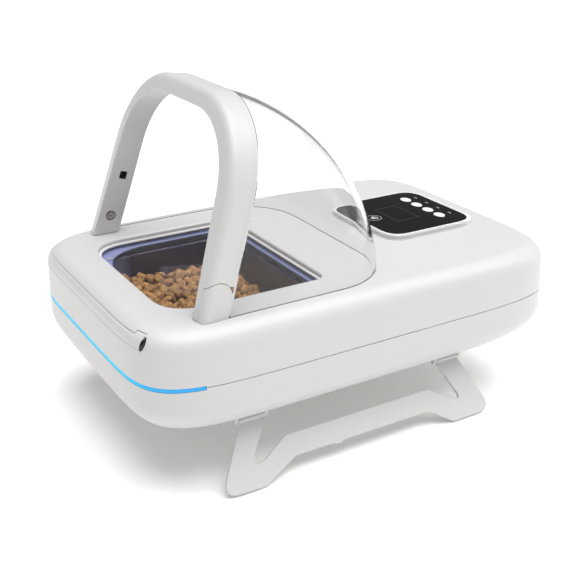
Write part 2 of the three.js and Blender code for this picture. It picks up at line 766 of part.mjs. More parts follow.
function archRearShell() {
  const half = archDepth / 2;
  const plate = archBand(0.2, archBandWidth - 0.2, half - archWall, half, 0);
  const low = block([-200, -50, -80], [200, 50, 16.5]);
  const rim = archBand(archWall + touchGap, archWall + 1.8, half - 4.5, half - archWall + 0.5, 0);
  return plate.add(rim).subtract(low);
}

function antennaCoil() {
  const line = grownArch(midBand, 0.4, 20).map((p) => new THREE.Vector3(p.x, -1, p.y));
  const path = new THREE.CatmullRomCurve3(line, false, "centripetal");
  const section = new THREE.Shape().absarc(0, 0, 1.8, 0, 2 * Math.PI);
  const options = { extrudePath: path, steps: 32, bevelEnabled: false, curveSegments: 6 };
  return solid(new THREE.ExtrudeGeometry(section, options));
}

function archFoot(side) {
  const band = archBand(midBand + touchGap, archBandWidth, -footRadius, footRadius, midBand * 0.6);
  let body = band.intersect(footZone(footRadius, 0)).subtract(underDeck(touchGap));
  const near = [side * 20, side * 200].sort((a, b) => a - b);
  body = body.intersect(block([near[0], -60, -60], [near[1], 60, 60]));
  const deep = [side * (archHalfFoot - 2), side * (archHalfFoot + archBandWidth - 2)];
  deep.sort((a, b) => a - b);
  return body.subtract(rod(screwRadius + 0.2, "x", deep[0], deep[1], [0, 0], 16));
}

function pivotScrew(side) {
  const head = [side * (archHalfFoot - 0.6), side * (archHalfFoot + 2)].sort((a, b) => a - b);
  const shank = [side * (archHalfFoot + 1), side * (archHalfFoot + archBandWidth - 2.6)];
  shank.sort((a, b) => a - b);
  return rod(headRadius, "x", head[0], head[1]).add(rod(screwRadius, "x", shank[0], shank[1], [0, 0], 12));
}

// The hood is the arch's rear outline, swept back and down about an axis at deck level.
function hoodDome(grow, from, start, end) {
  const axisZ = archTop + archBandWidth + archFlare - hoodRadius;
  const axisY = archDepth / 2 + touchGap;
  const rings = [];
  const steps = 14;
  for (let i = 0; i <= steps; i += 1) {
    const turn = THREE.MathUtils.degToRad(start + ((end - start) * i) / steps);
    const share = THREE.MathUtils.smoothstep(turn, 0, THREE.MathUtils.degToRad(70));
    const mix = (a, b) => a + (b - a) * share;
    const footHalf = mix(archHalfFoot + archBandWidth + 2.3, hoodHalf + 0.5);
    const outline = archOutline(
      footHalf + grow,
      mix(archHalfTop + archBandWidth + archFlare, hoodHalf) + grow,
      hoodRadius + grow,
      mix(archShoulder + archBandWidth, hoodCorner) + grow,
      from,
    );
    rings.push(outline.map((p) => new THREE.Vector3(
      p.x, axisY + p.y * Math.sin(turn), axisZ + p.y * Math.cos(turn),
    )));
  }
  return loft(rings, (p) => {
    const level = Math.hypot(p.y - axisY, p.z - axisZ);
    return new THREE.Vector2(p.x, level);
  });
}

function hood() {
  const outer = hoodDome(0, 3, 0, 80);
  const inner = hoodDome(-hoodWall, 1, -4, 84);
  return outer.subtract(inner).subtract(underDeck(seamGap));
}

function addArch() {
  root.add(archFrame);
  add(archFrame, "arch_front_shell", archFrontShell(), shellWhite());
  add(archFrame, "arch_rear_shell", archRearShell(), shellWhite());
  add(archFrame, "antenna_coil", antennaCoil(), metal(0xb5713b, 0.4));
  add(archFrame, "hood", hood(), clear());
  for (const [side, word] of [[-1, "left"], [1, "right"]]) {
    add(archFrame, `sensor_window_${word}`, sensorCut(side, 0), plastic(0x141416, 0.2));
    add(archFrame, `arch_foot_${word}`, archFoot(side), shellWhite());
    add(archFrame, `pivot_screw_${word}`, pivotScrew(side), steel());
  }
}

// ---------------------------------------------------------------- control panel
const panelTop = deckHeight + panelHeight;
const faceTop = panelTop - 0.1;
const faceUnder = faceTop - faceThickness;
const boardTop = deckUnder + 2;
const capUnder = faceUnder - 0.4;

function panelOutline(inset) {
  const halfX = panelWidth / 2 - inset;
  const halfY = panelLength / 2 - inset;
  return roundedBox(-halfX, panelY - halfY, halfX, panelY + halfY, panelRound - inset);
}

function buttonShape(grow) {
  const halfX = buttonLength / 2 + grow;
  const halfY = buttonWidth / 2 + grow;
  const shape = new THREE.Shape();
  shape.absellipse(0, 0, halfX, halfY, 0, 2 * Math.PI);
  return shape;
}

const buttonSpots = [-1.5, -0.5, 0.5, 1.5].map((n) => [n * buttonPitch - 1.4, buttonY]);

function panelBlock() {
  const body = slab(panelOutline(0), deckHeight + touchGap, panelTop);
  return body.subtract(slab(panelOutline(panelBorder), faceUnder - touchGap, panelTop + 1))
    .subtract(slab(panelOutline(panelCutInset), deckHeight - 1, panelTop + 1));
}

function panelFace() {
  let body = slab(panelOutline(panelBorder + touchGap), faceUnder, faceTop);
  for (const [x, y] of buttonSpots) {
    body = body.subtract(slab(buttonShape(runGap), faceUnder - 1, faceTop + 1, 4).translate([x, y, 0]));
  }
  const half = displayWidth / 2 + touchGap;
  const deep = displayLength / 2 + touchGap;
  const hole = roundedBox(-half, displayY - deep, half, displayY + deep, 1);
  return body.subtract(slab(hole, faceUnder - 1, faceTop - 0.7));
}

function button() {
  const cap = slab(buttonShape(0), capUnder - 0.2, faceTop + 0.5, 4);
  const flange = slab(buttonShape(1), capUnder - 1, capUnder, 4);
  const stem = rod(1.4, "z", boardTop + touchGap + 0.5 + buttonTravel, capUnder - 0.5, [0, 0], 12);
  return cap.add(flange).add(stem);
}

function addPanel() {
  add(root, "panel_block", panelBlock(), clear());
  add(root, "panel_face", panelFace(), plastic(0x08090a, 0.12));
  const half = displayWidth / 2;
  const deep = displayLength / 2;
  const display = block(
    [-half, displayY - deep, boardTop + touchGap], [half, displayY + deep, faceTop - 0.7 - touchGap],
  );
  add(root, "display", display, plastic(0x20262a, 0.25));
  const board = slab(panelOutline(panelCutInset + 1), deckUnder + 0.4, boardTop);
  add(root, "panel_board", board, plastic(0x1f5b3a, 0.5));
  buttonSpots.forEach(([x, y], i) => {
    add(root, `button_${i + 1}`, button(), plastic(0xf0f0ee, 0.4), [x, y, 0]);
    const dome = rod(3, "z", boardTop + touchGap, boardTop + touchGap + 0.4, [0, 0], 16);
    add(root, `button_dome_${i + 1}`, dome, steel(), [x, y, 0]);
  });
}

// ---------------------------------------------------------------- boards, cells and screws
function addInsides() {
  const board = block([-84, -8, floorTop + 12], [24, 50, floorTop + 13.6]);
  add(root, "main_board", board, plastic(0x1f5b3a, 0.5));
  const cellY = (doorFront + doorRear) / 2;
  for (let i = 0; i < 4; i += 1) {
    const x = (i - 1.5) * cellPitch;
    const can = rod(cellRadius, "y", -cellLength / 2, cellLength / 2 - 1.5, [0, 0], 24);
    const nub = rod(3, "y", cellLength / 2 - 2, cellLength / 2, [0, 0], 12);
    const place = [x, cellY, floorTop + 2.6 + cellRadius];
    add(root, `battery_${i + 1}`, can.add(nub), plastic(0x3d5f8c, 0.4), place);
  }
  screwSpots.forEach(([x, y], i) => {
    const seat = underside + headSeat - touchGap;
    const head = rod(headRadius, "z", seat - 2.4, seat, [0, 0], 16);
    const shank = rod(screwRadius, "z", seat - 0.4, partingHeight + 16, [0, 0], 8);
    add(root, `casing_screw_${i + 1}`, head.add(shank), steel(), [x, y, 0]);
  });
}

// ---------------------------------------------------------------- assembly
add(root, "lower_casing", lowerCasing(), shellWhite());
add(root, "upper_casing", upperCasing(), shellWhite());
add(root, "light_strip", lightStrip(), plastic(0x2fb8f2, 0.3));
add(root, "led_board", ledBoard(), plastic(0xe8e8e4, 0.5));
add(root, "release_bar", frontBar(), shellWhite());
add(root, "battery_door", batteryDoor(), shellWhite());
add(root, "bowl_cradle", bowlCradle(), innerGrey());
add(root, "feed_bowl", feedBowl(), plastic(0x3d3654, 0.3));
add(root, "kibble", foodHeap(), plastic(0x7a573a, 0.9));
addStands();
addLid();
addArch();
addPanel();
addInsides();

export default root;
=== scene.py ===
"""Looks of an automatic pet feeder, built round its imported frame."""

import math

import bmesh
import bpy
from bpy.props import FloatProperty, FloatVectorProperty, IntProperty, PointerProperty
from bpy.types import Operator, Panel, PropertyGroup
from mathutils import Matrix, Vector


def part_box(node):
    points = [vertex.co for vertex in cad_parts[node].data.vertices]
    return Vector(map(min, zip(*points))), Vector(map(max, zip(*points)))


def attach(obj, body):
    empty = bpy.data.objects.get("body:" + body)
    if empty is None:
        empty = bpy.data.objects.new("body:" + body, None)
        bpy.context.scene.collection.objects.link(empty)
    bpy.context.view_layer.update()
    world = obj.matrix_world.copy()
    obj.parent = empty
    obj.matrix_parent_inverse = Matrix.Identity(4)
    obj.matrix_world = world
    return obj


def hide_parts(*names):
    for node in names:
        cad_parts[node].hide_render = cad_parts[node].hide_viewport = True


bl_info = {
    "name": "Automatic pet feeder",
    "version": (1, 0, 0),
    "blender": (4, 5, 0),
    "location": "3D View > Sidebar > Feeder",
    "description": "Builds the visible pieces of an automatic pet feeder round its frame",
    "category": "Object",
}

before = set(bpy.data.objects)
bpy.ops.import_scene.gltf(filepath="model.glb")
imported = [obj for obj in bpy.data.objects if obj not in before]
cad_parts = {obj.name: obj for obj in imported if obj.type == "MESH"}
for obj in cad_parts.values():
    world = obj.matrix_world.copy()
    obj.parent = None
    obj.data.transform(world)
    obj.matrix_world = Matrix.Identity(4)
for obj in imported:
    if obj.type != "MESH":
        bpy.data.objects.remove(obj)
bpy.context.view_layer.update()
MM = 0.001
FAR = 300 * MM  # outside the feeder in any direction


# ---------------------------------------------------------------- sizes and colours a user would change
def length(label, words, millimetres):
    return FloatProperty(
        name=label, description=words, default=millimetres * MM,
        precision=5, unit="LENGTH", subtype="DISTANCE",
    )


def colour(label, words, value):
    return FloatVectorProperty(
        name=label, description=words, default=value, subtype="COLOR", size=3, min=0, max=1
    )


def angle(label, words, degrees):
    return FloatProperty(
        name=label, description=words, default=math.radians(degrees), unit="ROTATION", subtype="ANGLE"
    )


def share(label, words, value):
    return FloatProperty(name=label, description=words, default=value, subtype="FACTOR", min=0, max=1)


def quantity(label, words, value):
    return FloatProperty(name=label, description=words, default=value)


class FeederCasingSizes(PropertyGroup):
    plan_power: quantity("Plan power", "How square the casing's plan is", 6.8)
    steps: IntProperty(name="Plan steps", description="Points round the casing", default=224, min=48)
    wall: length("Wall", "Thickness of the casing's side", 2.8)
    deck: length("Deck", "Thickness of the deck", 3)
    deck_round: length("Deck edge", "Radius of the edge round the deck", 12.6)
    draft: length("Draft", "How far the upper casing leans in below its edge", 0.6)
    belly_run: length("Belly run", "How far the belly's curve reaches in from the side", 35)
    belly_rise: length("Belly rise", "How far the belly's curve climbs", 28)
    seam: length("Seam", "Gap between casing edges", 0.36)
    bar_proud: length("Bar relief", "How far the front bar stands out of the casing", 0.12)


class FeederArchSizes(PropertyGroup):
    lean: angle("Lean", "How far the arch leans back", 17.5)
    band: length("Band", "Thickness of the arch, from inside to outside", 12.4)
    depth: length("Depth", "Depth of the arch, from front to rear", 19.4)
    half_foot: length("Half width at the pivot", "From the middle to the arch's inner face", 84.7)
    half_top: length("Half width at the crown", "Where the leaning legs would meet the crown", 72.3)
    top: length("Height", "From the pivot to the underside of the crown", 105.5)
    shoulder: length("Shoulder", "Radius of the inner corners", 51)
    front_round: length("Front round", "Radius of the outer front edge", 5.5)
    front_slant: length("Front slant", "How far the front face falls back to the outside", 1.6)
    flare: length("Flare", "How much larger the rear outline is at the crown", 3)
    foot_radius: length("Knuckle", "Radius of the knuckle on each foot", 9.2)


class FeederHoodSizes(PropertyGroup):
    radius: length("Radius", "Radius of the hood's sweep", 138.2)
    wall: length("Wall", "Thickness of the hood", 2.6)
    half: length("Half width", "Half the hood's width at the rear", 98)
    corner: length("Corner", "Radius between the hood's top and sides", 50)


class FeederBowlSizes(PropertyGroup):
    flange: length("Flange", "Width of the bowl's rim", 3.2)
    wall: length("Wall", "Thickness of the bowl", 2.5)
    draft: length("Draft", "How much the bowl narrows downwards", 5)
    foot: length("Foot", "Radius between the bowl's wall and floor", 12)
    food_size: length("Food size", "Length of one piece of food", 9)
    food_gap: length("Food spacing", "Closest distance between two pieces of food", 6.0)
    seed: IntProperty(name="Seed", description="Arrangement of the food", default=7)


class FeederFinish(PropertyGroup):
    shell: colour("Shell", "Colour of the casing, arch and stands", (0.58, 0.58, 0.58))
    shell_roughness: share("Shell roughness", "Roughness of the casing", 0.36)
    # bowl: the bowl's own deep plum, made darker in part as painted shade inside the bowl
    bowl: colour("Bowl", "Colour of the bowl's walls", (0.014, 0.007, 0.026))
    # lit_lavender: painted light, the lavender the bowl's front wall turns to, and the lid rim's colour
    # before it is lightened
    lit_lavender: colour("Bowl edge", "Colour of the bowl's front wall and the lid's rim", (0.17, 0.20, 0.33))
    lid: colour("Lid", "Colour of the lid's tint", (0.93, 0.91, 0.97))
    food: colour("Food", "Colour of the food", (0.50, 0.275, 0.070))
    # food_hollow_shade: painted shade, the colour the food turns to in the hollows of its relief
    food_hollow_shade: colour("Dark food", "Colour of the darkest food", (0.16, 0.070, 0.016))
    light_near: colour("Light", "Colour of the light strip at its right end", (0.035, 0.26, 0.62))
    light_middle: colour("Light's middle", "Colour of the light strip at the front", (0.03, 0.50, 0.82))
    panel: colour("Panel", "Colour of the panel's face", (0.0025, 0.0025, 0.003))


class FeederStage(PropertyGroup):
    azimuth: angle("Azimuth", "Where the camera stands round the feeder", 58.8755)
    elevation: angle("Elevation", "How far the camera looks down", 22.7773)
    distance: length("Distance", "From the camera to the middle of the feeder", 752.37)
    target: length("Target height", "Height that the camera looks at", 90)
    fill: quantity("Fill", "Brightness of the surroundings", 0.32)
    overhead: quantity("Overhead", "Brightness that the overhead light adds", 1.18)
    glow: quantity("Floor glow", "Light that the backlit floor gives of itself", 0.15)
    overhead_spread: angle("Overhead spread", "How wide the overhead light is", 62)
    lens: quantity("Lens", "Focal length in millimetres", 60.82)
    shift_x: quantity("Shift across", "Sideways shift of the lens", -0.0102)
    shift_y: quantity("Shift up", "Upward shift of the lens", -0.0136)


# ---------------------------------------------------------------- mesh tools
def add_object(name, mesh):
    made = bpy.data.objects.new(name, mesh)
    bpy.context.scene.collection.objects.link(made)
    return made


def from_points(name, points, faces):
    """A mesh object whose faces point out of the solid they close."""
    mesh = bpy.data.meshes.new(name)
    mesh.from_pydata([tuple(p) for p in points], [], faces)
    work = bmesh.new()
    work.from_mesh(mesh)
    bmesh.ops.remove_doubles(work, verts=work.verts, dist=1e-6)
    if work.calc_volume(signed=True) < 0:
        bmesh.ops.reverse_faces(work, faces=work.faces)
    work.to_mesh(mesh)
    work.free()
    return add_object(name, mesh)


def loft(name, rings):
    """A closed skin through rings of equal count, capped at both ends."""
    count = len(rings[0])
    points = [p for ring in rings for p in ring]
    faces = []
    for start in range(0, len(points) - count, count):
        after = start + count
        for i in range(count):
            j = (i + 1) % count
            faces.append((start + i, start + j, after + j, after + i))
    faces.append(tuple(range(count))[::-1])
    faces.append(tuple(range(len(points) - count, len(points))))
    return from_points(name, points, faces)


def settle(made):
    """Turns an object's modifiers into its plain mesh."""
    bpy.context.view_layer.update()
    graph = bpy.context.evaluated_depsgraph_get()
    mesh = bpy.data.meshes.new_from_object(made.evaluated_get(graph))
    before = made.data
    made.modifiers.clear()
    made.data = mesh
    bpy.data.meshes.remove(before)
    mesh.name = made.name
    return made


def combine(made, tool, how="DIFFERENCE"):
    """Cuts, joins or trims one closed solid with another, which is used up."""
    change = made.modifiers.new("combine", "BOOLEAN")
    change.operation = how
    change.solver = "EXACT"
    change.object = tool
    settle(made)
    mesh = tool.data
    bpy.data.objects.remove(tool)
    bpy.data.meshes.remove(mesh)
    return made


def soften(made, width, segments=2, limit=40):
    """Rounds an object's sharp edges."""
    change = made.modifiers.new("edge", "BEVEL")
    change.width = width
    change.segments = segments
    change.limit_method = "ANGLE"
    change.angle_limit = math.radians(limit)
    change.use_clamp_overlap = True
    return settle(made)


def shade(made, limit=35):
    """Smooth shading that keeps creases and lets flat faces stay flat."""
    work = bmesh.new()
    work.from_mesh(made.data)
    bmesh.ops.remove_doubles(work, verts=work.verts, dist=2e-6)
    bmesh.ops.dissolve_degenerate(work, edges=work.edges, dist=1e-6)
    work.to_mesh(made.data)
    work.free()
    made.data.shade_smooth()
    made.data.set_sharp_from_angle(angle=math.radians(limit))
    change = made.modifiers.new("normals", "WEIGHTED_NORMAL")
    change.keep_sharp = True
    change.weight = 60
    return settle(made)


def place(made, matrix):
    """Moves an object's mesh, and leaves the object at the origin."""
    made.data.transform(matrix)
    made.data.update()
    return made


def merge(name, objects):
    """One mesh object from several that don't overlap."""
    work = bmesh.new()
    for one in objects:
        work.from_mesh(one.data)
        mesh = one.data
        bpy.data.objects.remove(one)
        bpy.data.meshes.remove(mesh)
    mesh = bpy.data.meshes.new(name)
    work.to_mesh(mesh)
    work.free()
    return add_object(name, mesh)


def finish(made, body, slot, material, *nodes):
    """Gives a piece its material and its body, and hides the nodes that it stands for. The slot is not used.
    """
    made.data.materials.clear()
    made.data.materials.append(material)
    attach(made, body)
    if nodes:
        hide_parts(*nodes)
    return made


def outline(corners, steps=8):
    """A closed line through corners (x, y, radius), each corner rounded by a parabola."""
    line = []
    count = len(corners)
    for i, (x, y, radius) in enumerate(corners):
        here = Vector((x, y))
        before = Vector(corners[i - 1][:2]) - here
        after = Vector(corners[(i + 1) % count][:2]) - here
        if radius <= 0:
            line.append(here)
            continue
        half = before.angle(after) / 2
        cut = min(radius / math.tan(half), before.length * 0.49, after.length * 0.49)
        start, end = here + before.normalized() * cut, here + after.normalized() * cut
        for k in range(steps + 1):
            t = k / steps
            line.append(start * (1 - t) ** 2 + here * (2 * t * (1 - t)) + end * t * t)
    return line


def rectangle(low_x, low_y, high_x, high_y, front, rear=None, steps=8):
    """A rounded rectangle, whose rear corners may have a radius of their own."""
    rear = front if rear is None else rear
    return outline(
        [(low_x, low_y, front), (high_x, low_y, front), (high_x, high_y, rear), (low_x, high_y, rear)], steps
    )


def raised(name, line, low, high):
    """A flat line raised from one height to another."""
    return loft(name, [[(p.x, p.y, z) for p in line] for z in (low, high)])


def cuboid(name, low, high):
    """A plain box between two corners."""
    line = rectangle(low[0], low[1], high[0], high[1], 0)
    return raised(name, line, low[2], high[2])


def oval(spot, long_half, short_half, steps=40):
    turns = [2 * math.pi * i / steps for i in range(steps)]
    return [Vector((spot[0] + long_half * math.cos(t), spot[1] + short_half * math.sin(t))) for t in turns]


def circle(radius, steps, centre=(0, 0)):
    return oval(centre, radius, radius, steps)


def middle(name):
    """The middle of a node's box."""
    low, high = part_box(name)
    return (low + high) / 2


def ease(t):
    """0 to 1 with a level start and end."""
    t = min(1, max(0, t))
    return t * t * (3 - 2 * t)


# ---------------------------------------------------------------- places read from the frame
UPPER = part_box("upper_casing")
HALF_X = UPPER[1].x
HALF_Y = UPPER[1].y
DECK = UPPER[1].z
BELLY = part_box("battery_door")[0].z
PARTING = middle("light_strip").z
SEAL_SPREAD = 5 * MM  # the seal reaches this far past the opening under the deck
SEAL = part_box("opening_seal")
OPENING = (SEAL[0].x + SEAL_SPREAD, SEAL[0].y + SEAL_SPREAD, SEAL[1].x - SEAL_SPREAD, SEAL[1].y - SEAL_SPREAD)
OPENING_FRONT = 28 * MM  # radius of the opening's front corners
OPENING_REAR = 9 * MM
PIVOT = (middle("pivot_screw_left") + middle("pivot_screw_right")) / 2
STAND_AXIS = middle("stand_pin_right_front")
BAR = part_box("release_bar")
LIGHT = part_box("light_strip")
LIGHT_HALF = 1.35 * MM  # half the height of the strip that shows
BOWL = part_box("feed_bowl")
PANEL_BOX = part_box("panel_block")
PANEL_ROUND = 19 * MM
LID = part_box("lid_pane")
SIDES = ((-1, "left"), (1, "right"))
ENDS = ("front", "rear")
CASING_SCREWS = [f"casing_screw_{i}" for i in range(1, 5)]


# ---------------------------------------------------------------- shader groups and materials
def new_group(name, inputs, outputs):
    group = bpy.data.node_groups.new(name, "ShaderNodeTree")
    for label, kind, default in inputs:
        socket = group.interface.new_socket(label, in_out="INPUT", socket_type=kind)
        socket.default_value = default
    for label, kind in outputs:
        group.interface.new_socket(label, in_out="OUTPUT", socket_type=kind)
    return group, group.nodes.new("NodeGroupInput"), group.nodes.new("NodeGroupOutput")


def node(tree, kind, links=(), **values):
    """A node with its settings, plain input values and links. An underscore stands for a space in a name."""
    made = tree.nodes.new(kind)
    for key, value in values.items():
        socket = made.inputs.get(key.replace("_", " "))
        if socket is not None:
            socket.default_value = value
        else:
            setattr(made, key, value)
    for target, source in links:
        tree.links.new(source, made.inputs[target])
    return made


def moulded_surface():
    """Tone, roughness and fine relief of a moulded or cast surface."""
    if "Moulded surface" in bpy.data.node_groups:
        return bpy.data.node_groups["Moulded surface"]
    group, source, result = new_group(
        "Moulded surface",
        [
            ("Colour", "NodeSocketColor", (0.8, 0.8, 0.8, 1)),
            ("Second Colour", "NodeSocketColor", (0.7, 0.7, 0.7, 1)),
            ("Roughness", "NodeSocketFloat", 0.4),
            ("Roughness Change", "NodeSocketFloat", 0.08),
            ("Tone Scale", "NodeSocketFloat", 18.0),
            ("Grain Scale", "NodeSocketFloat", 1800.0),
            ("Grain Height", "NodeSocketFloat", 0.1),
        ],
        [("Colour", "NodeSocketColor"), ("Roughness", "NodeSocketFloat"), ("Normal", "NodeSocketVector")],
    )
    places = node(group, "ShaderNodeTexCoord").outputs["Object"]
    tone = node(
        group, "ShaderNodeTexNoise", [("Vector", places), ("Scale", source.outputs["Tone Scale"])], Detail=3.0
    )
    mix = node(
        group, "ShaderNodeMix",
        [(0, tone.outputs["Fac"]), (6, source.outputs["Colour"]), (7, source.outputs["Second Colour"])],
        data_type="RGBA",
    )
    fine = node(
        group, "ShaderNodeTexNoise",
        [("Vector", places), ("Scale", source.outputs["Grain Scale"])], Detail=2.0,
    )
    spread = node(
        group, "ShaderNodeMath",
        [(0, tone.outputs["Fac"]), (1, source.outputs["Roughness Change"]), (2, source.outputs["Roughness"])],
        operation="MULTIPLY_ADD",
    )
    relief = node(
        group, "ShaderNodeBump",
        [("Strength", source.outputs["Grain Height"]), ("Height", fine.outputs["Fac"])],
        Distance=0.06 * MM,
    )
    group.links.new(mix.outputs[2], result.inputs["Colour"])
    group.links.new(spread.outputs[0], result.inputs["Roughness"])
    group.links.new(relief.outputs["Normal"], result.inputs["Normal"])
    return group


def handling_marks():
    """A mask of faint wipe marks and dust, for surfaces that show them."""
    if "Handling marks" in bpy.data.node_groups:
        return bpy.data.node_groups["Handling marks"]
    group, source, result = new_group(
        "Handling marks",
        [("Scale", "NodeSocketFloat", 30.0), ("Amount", "NodeSocketFloat", 0.1)],
        [("Mask", "NodeSocketFloat")],
    )
    places = node(group, "ShaderNodeTexCoord").outputs["Object"]
    stretch = node(group, "ShaderNodeMapping", [("Vector", places)], Scale=(1.0, 0.35, 1.0))
    wipe = node(
        group, "ShaderNodeTexNoise",
        [("Vector", stretch.outputs[0]), ("Scale", source.outputs["Scale"])],
        Detail=4.0, Distortion=0.8,
    )
    fade = node(
        group, "ShaderNodeMapRange", [("Value", wipe.outputs["Fac"]), ("To Max", source.outputs["Amount"])],
        From_Min=0.45, From_Max=0.75,
    )
    group.links.new(fade.outputs[0], result.inputs["Mask"])
    return group


def new_material(name):
    material = bpy.data.materials.new(name)
    material.use_nodes = True
    tree = material.node_tree
    return material, tree, tree.nodes["Principled BSDF"]


def use_group(tree, group, **values):
    made = tree.nodes.new("ShaderNodeGroup")
    made.node_tree = group
    for key, value in values.items():
        made.inputs[key.replace("_", " ")].default_value = value
    return made


def moulded(name, tint, second=None, rough=0.4, change=0.08, grain=0.1, scale=1800.0, tone=18.0, **shader):
    """Moulded plastic, rubber, metal or board, with its own tone, roughness and relief."""
    if name in bpy.data.materials:
        return bpy.data.materials[name]
    material, tree, surface = new_material(name)
    second = [0.96 * value for value in tint] if second is None else second
    group = use_group(
        tree, moulded_surface(), Colour=(*tint, 1), Second_Colour=(*second, 1), Roughness=rough - change / 2,
        Roughness_Change=change, Tone_Scale=tone, Grain_Scale=scale, Grain_Height=grain,
    )
    tree.links.new(group.outputs["Colour"], surface.inputs["Base Color"])
    tree.links.new(group.outputs["Roughness"], surface.inputs["Roughness"])
    tree.links.new(group.outputs["Normal"], surface.inputs["Normal"])
    for key, value in shader.items():
        surface.inputs[key.replace("_", " ")].default_value = value
    return material


def clear_plastic(name, tint, rough, amount, index):
    """Polished clear plastic with faint wipe marks in its gloss, which lets soft light straight through."""
    if name in bpy.data.materials:
        return bpy.data.materials[name]
    material, tree, surface = new_material(name)
    surface.inputs["Base Color"].default_value = (*tint, 1)
    surface.inputs["Transmission Weight"].default_value = 1
    surface.inputs["IOR"].default_value = index
    marks = use_group(tree, handling_marks(), Scale=26.0, Amount=amount)
    total = node(tree, "ShaderNodeMath", [(0, marks.outputs["Mask"])], operation="ADD")
    total.inputs[1].default_value = rough
    tree.links.new(total.outputs[0], surface.inputs["Roughness"])
    path = tree.nodes.new("ShaderNodeLightPath")
    soft = node(
        tree, "ShaderNodeMath", [(0, path.outputs["Is Shadow Ray"]), (1, path.outputs["Is Diffuse Ray"])],
        operation="MAXIMUM",
    )
    through = tree.nodes.new("ShaderNodeBsdfTransparent")
    through.inputs["Color"].default_value = (*[1 - 0.4 * (1 - value) for value in tint], 1)
    blend = node(
        tree, "ShaderNodeMixShader", [(0, soft.outputs[0]), (1, surface.outputs[0]), (2, through.outputs[0])]
    )
    tree.links.new(blend.outputs[0], tree.nodes["Material Output"].inputs["Surface"])
    return material


def finishes():
    return bpy.context.scene.feeder_finish


def shell_white():
    look = finishes()
    tint = list(look.shell)
    return moulded(
        "Satin white moulding", tint, [0.985 * value for value in tint], look.shell_roughness,
        change=0.06, grain=0.06, scale=2400.0, tone=9.0, Specular_IOR_Level=0.45,
    )


def inner_grey():
    return moulded("Inner grey moulding", (0.50, 0.51, 0.52), rough=0.55)


def seal_light():
    return moulded("Light seal", (0.70, 0.70, 0.70), rough=0.6, grain=0.2, scale=1200.0)


def bowl_plum():
    """Deep plum walls, their own dark colour deepened in part as painted shade, that turn to lavender towards
    the front wall as painted light.
    """
    if "Plum bowl" in bpy.data.materials:
        return bpy.data.materials["Plum bowl"]
    look = finishes()
    deep = moulded(
        "Plum bowl", list(look.bowl), rough=0.24, grain=0.02, scale=900.0,
        Coat_Weight=0.3, Coat_Roughness=0.12,
    )
    tree = deep.node_tree
    places = node(tree, "ShaderNodeTexCoord").outputs["Object"]
    split = node(tree, "ShaderNodeSeparateXYZ", [(0, places)])
    # Painted light: the front of the bowl turns lavender, up to 0.7 of the way.
    front = node(
        tree, "ShaderNodeMapRange", [("Value", split.outputs["Y"])],
        From_Min=BOWL[0].y + 27 * MM, From_Max=BOWL[0].y + 10 * MM, To_Max=0.7,
    )
    group = tree.nodes["Group"]
    mix = node(tree, "ShaderNodeMix", [(0, front.outputs[0]), (6, group.outputs["Colour"])], data_type="RGBA")
    mix.inputs[7].default_value = (*look.lit_lavender, 1)
    tree.links.new(mix.outputs[2], tree.nodes["Principled BSDF"].inputs["Base Color"])
    return deep


def rim_blue():
    # The rim's own lavender, made 1.5 times lighter as painted light on its lit top.
    return moulded("Frosted rim", [1.5 * value for value in finishes().lit_lavender], rough=0.4)


def pad_rubber():
    return moulded("Foot rubber", (0.055, 0.055, 0.058), rough=0.8, grain=0.5, scale=900.0)


def zinc_steel():
    return moulded("Zinc plated steel", (0.62, 0.62, 0.63), rough=0.42, grain=0.15, scale=700.0, Metallic=1.0)


def hood_clear():
    return clear_plastic("Clear hood", (0.92, 0.92, 0.92), 0.0, 0.02, 1.24)


def block_clear():
    # Painted light: half the clear block is white diffuse, so that its edge shows the bright look of glints
    # and reflections.
    clear = clear_plastic("Clear panel block", (0.96, 0.96, 0.96), 0.01, 0.03, 1.4)
    clear.node_tree.nodes["Principled BSDF"].inputs["Transmission Weight"].default_value = 0.5
    return clear


def lid_tint():
    return clear_plastic("Tinted lid", list(finishes().lid), 0.01, 0.03, 1.16)


def piano_black():
    tint = list(finishes().panel)
    return moulded(
        "Piano black", tint, [1.3 * value for value in tint], 0.12,
        change=0.05, grain=0.02, scale=600.0, tone=30.0, Specular_IOR_Level=0.05,
    )


def sensor_black():
    return moulded("Sensor window", (0.004, 0.004, 0.005), rough=0.14, change=0.04, grain=0.02)


def button_white():
    return moulded("Button cap", (0.86, 0.86, 0.85), rough=0.3, grain=0.08)


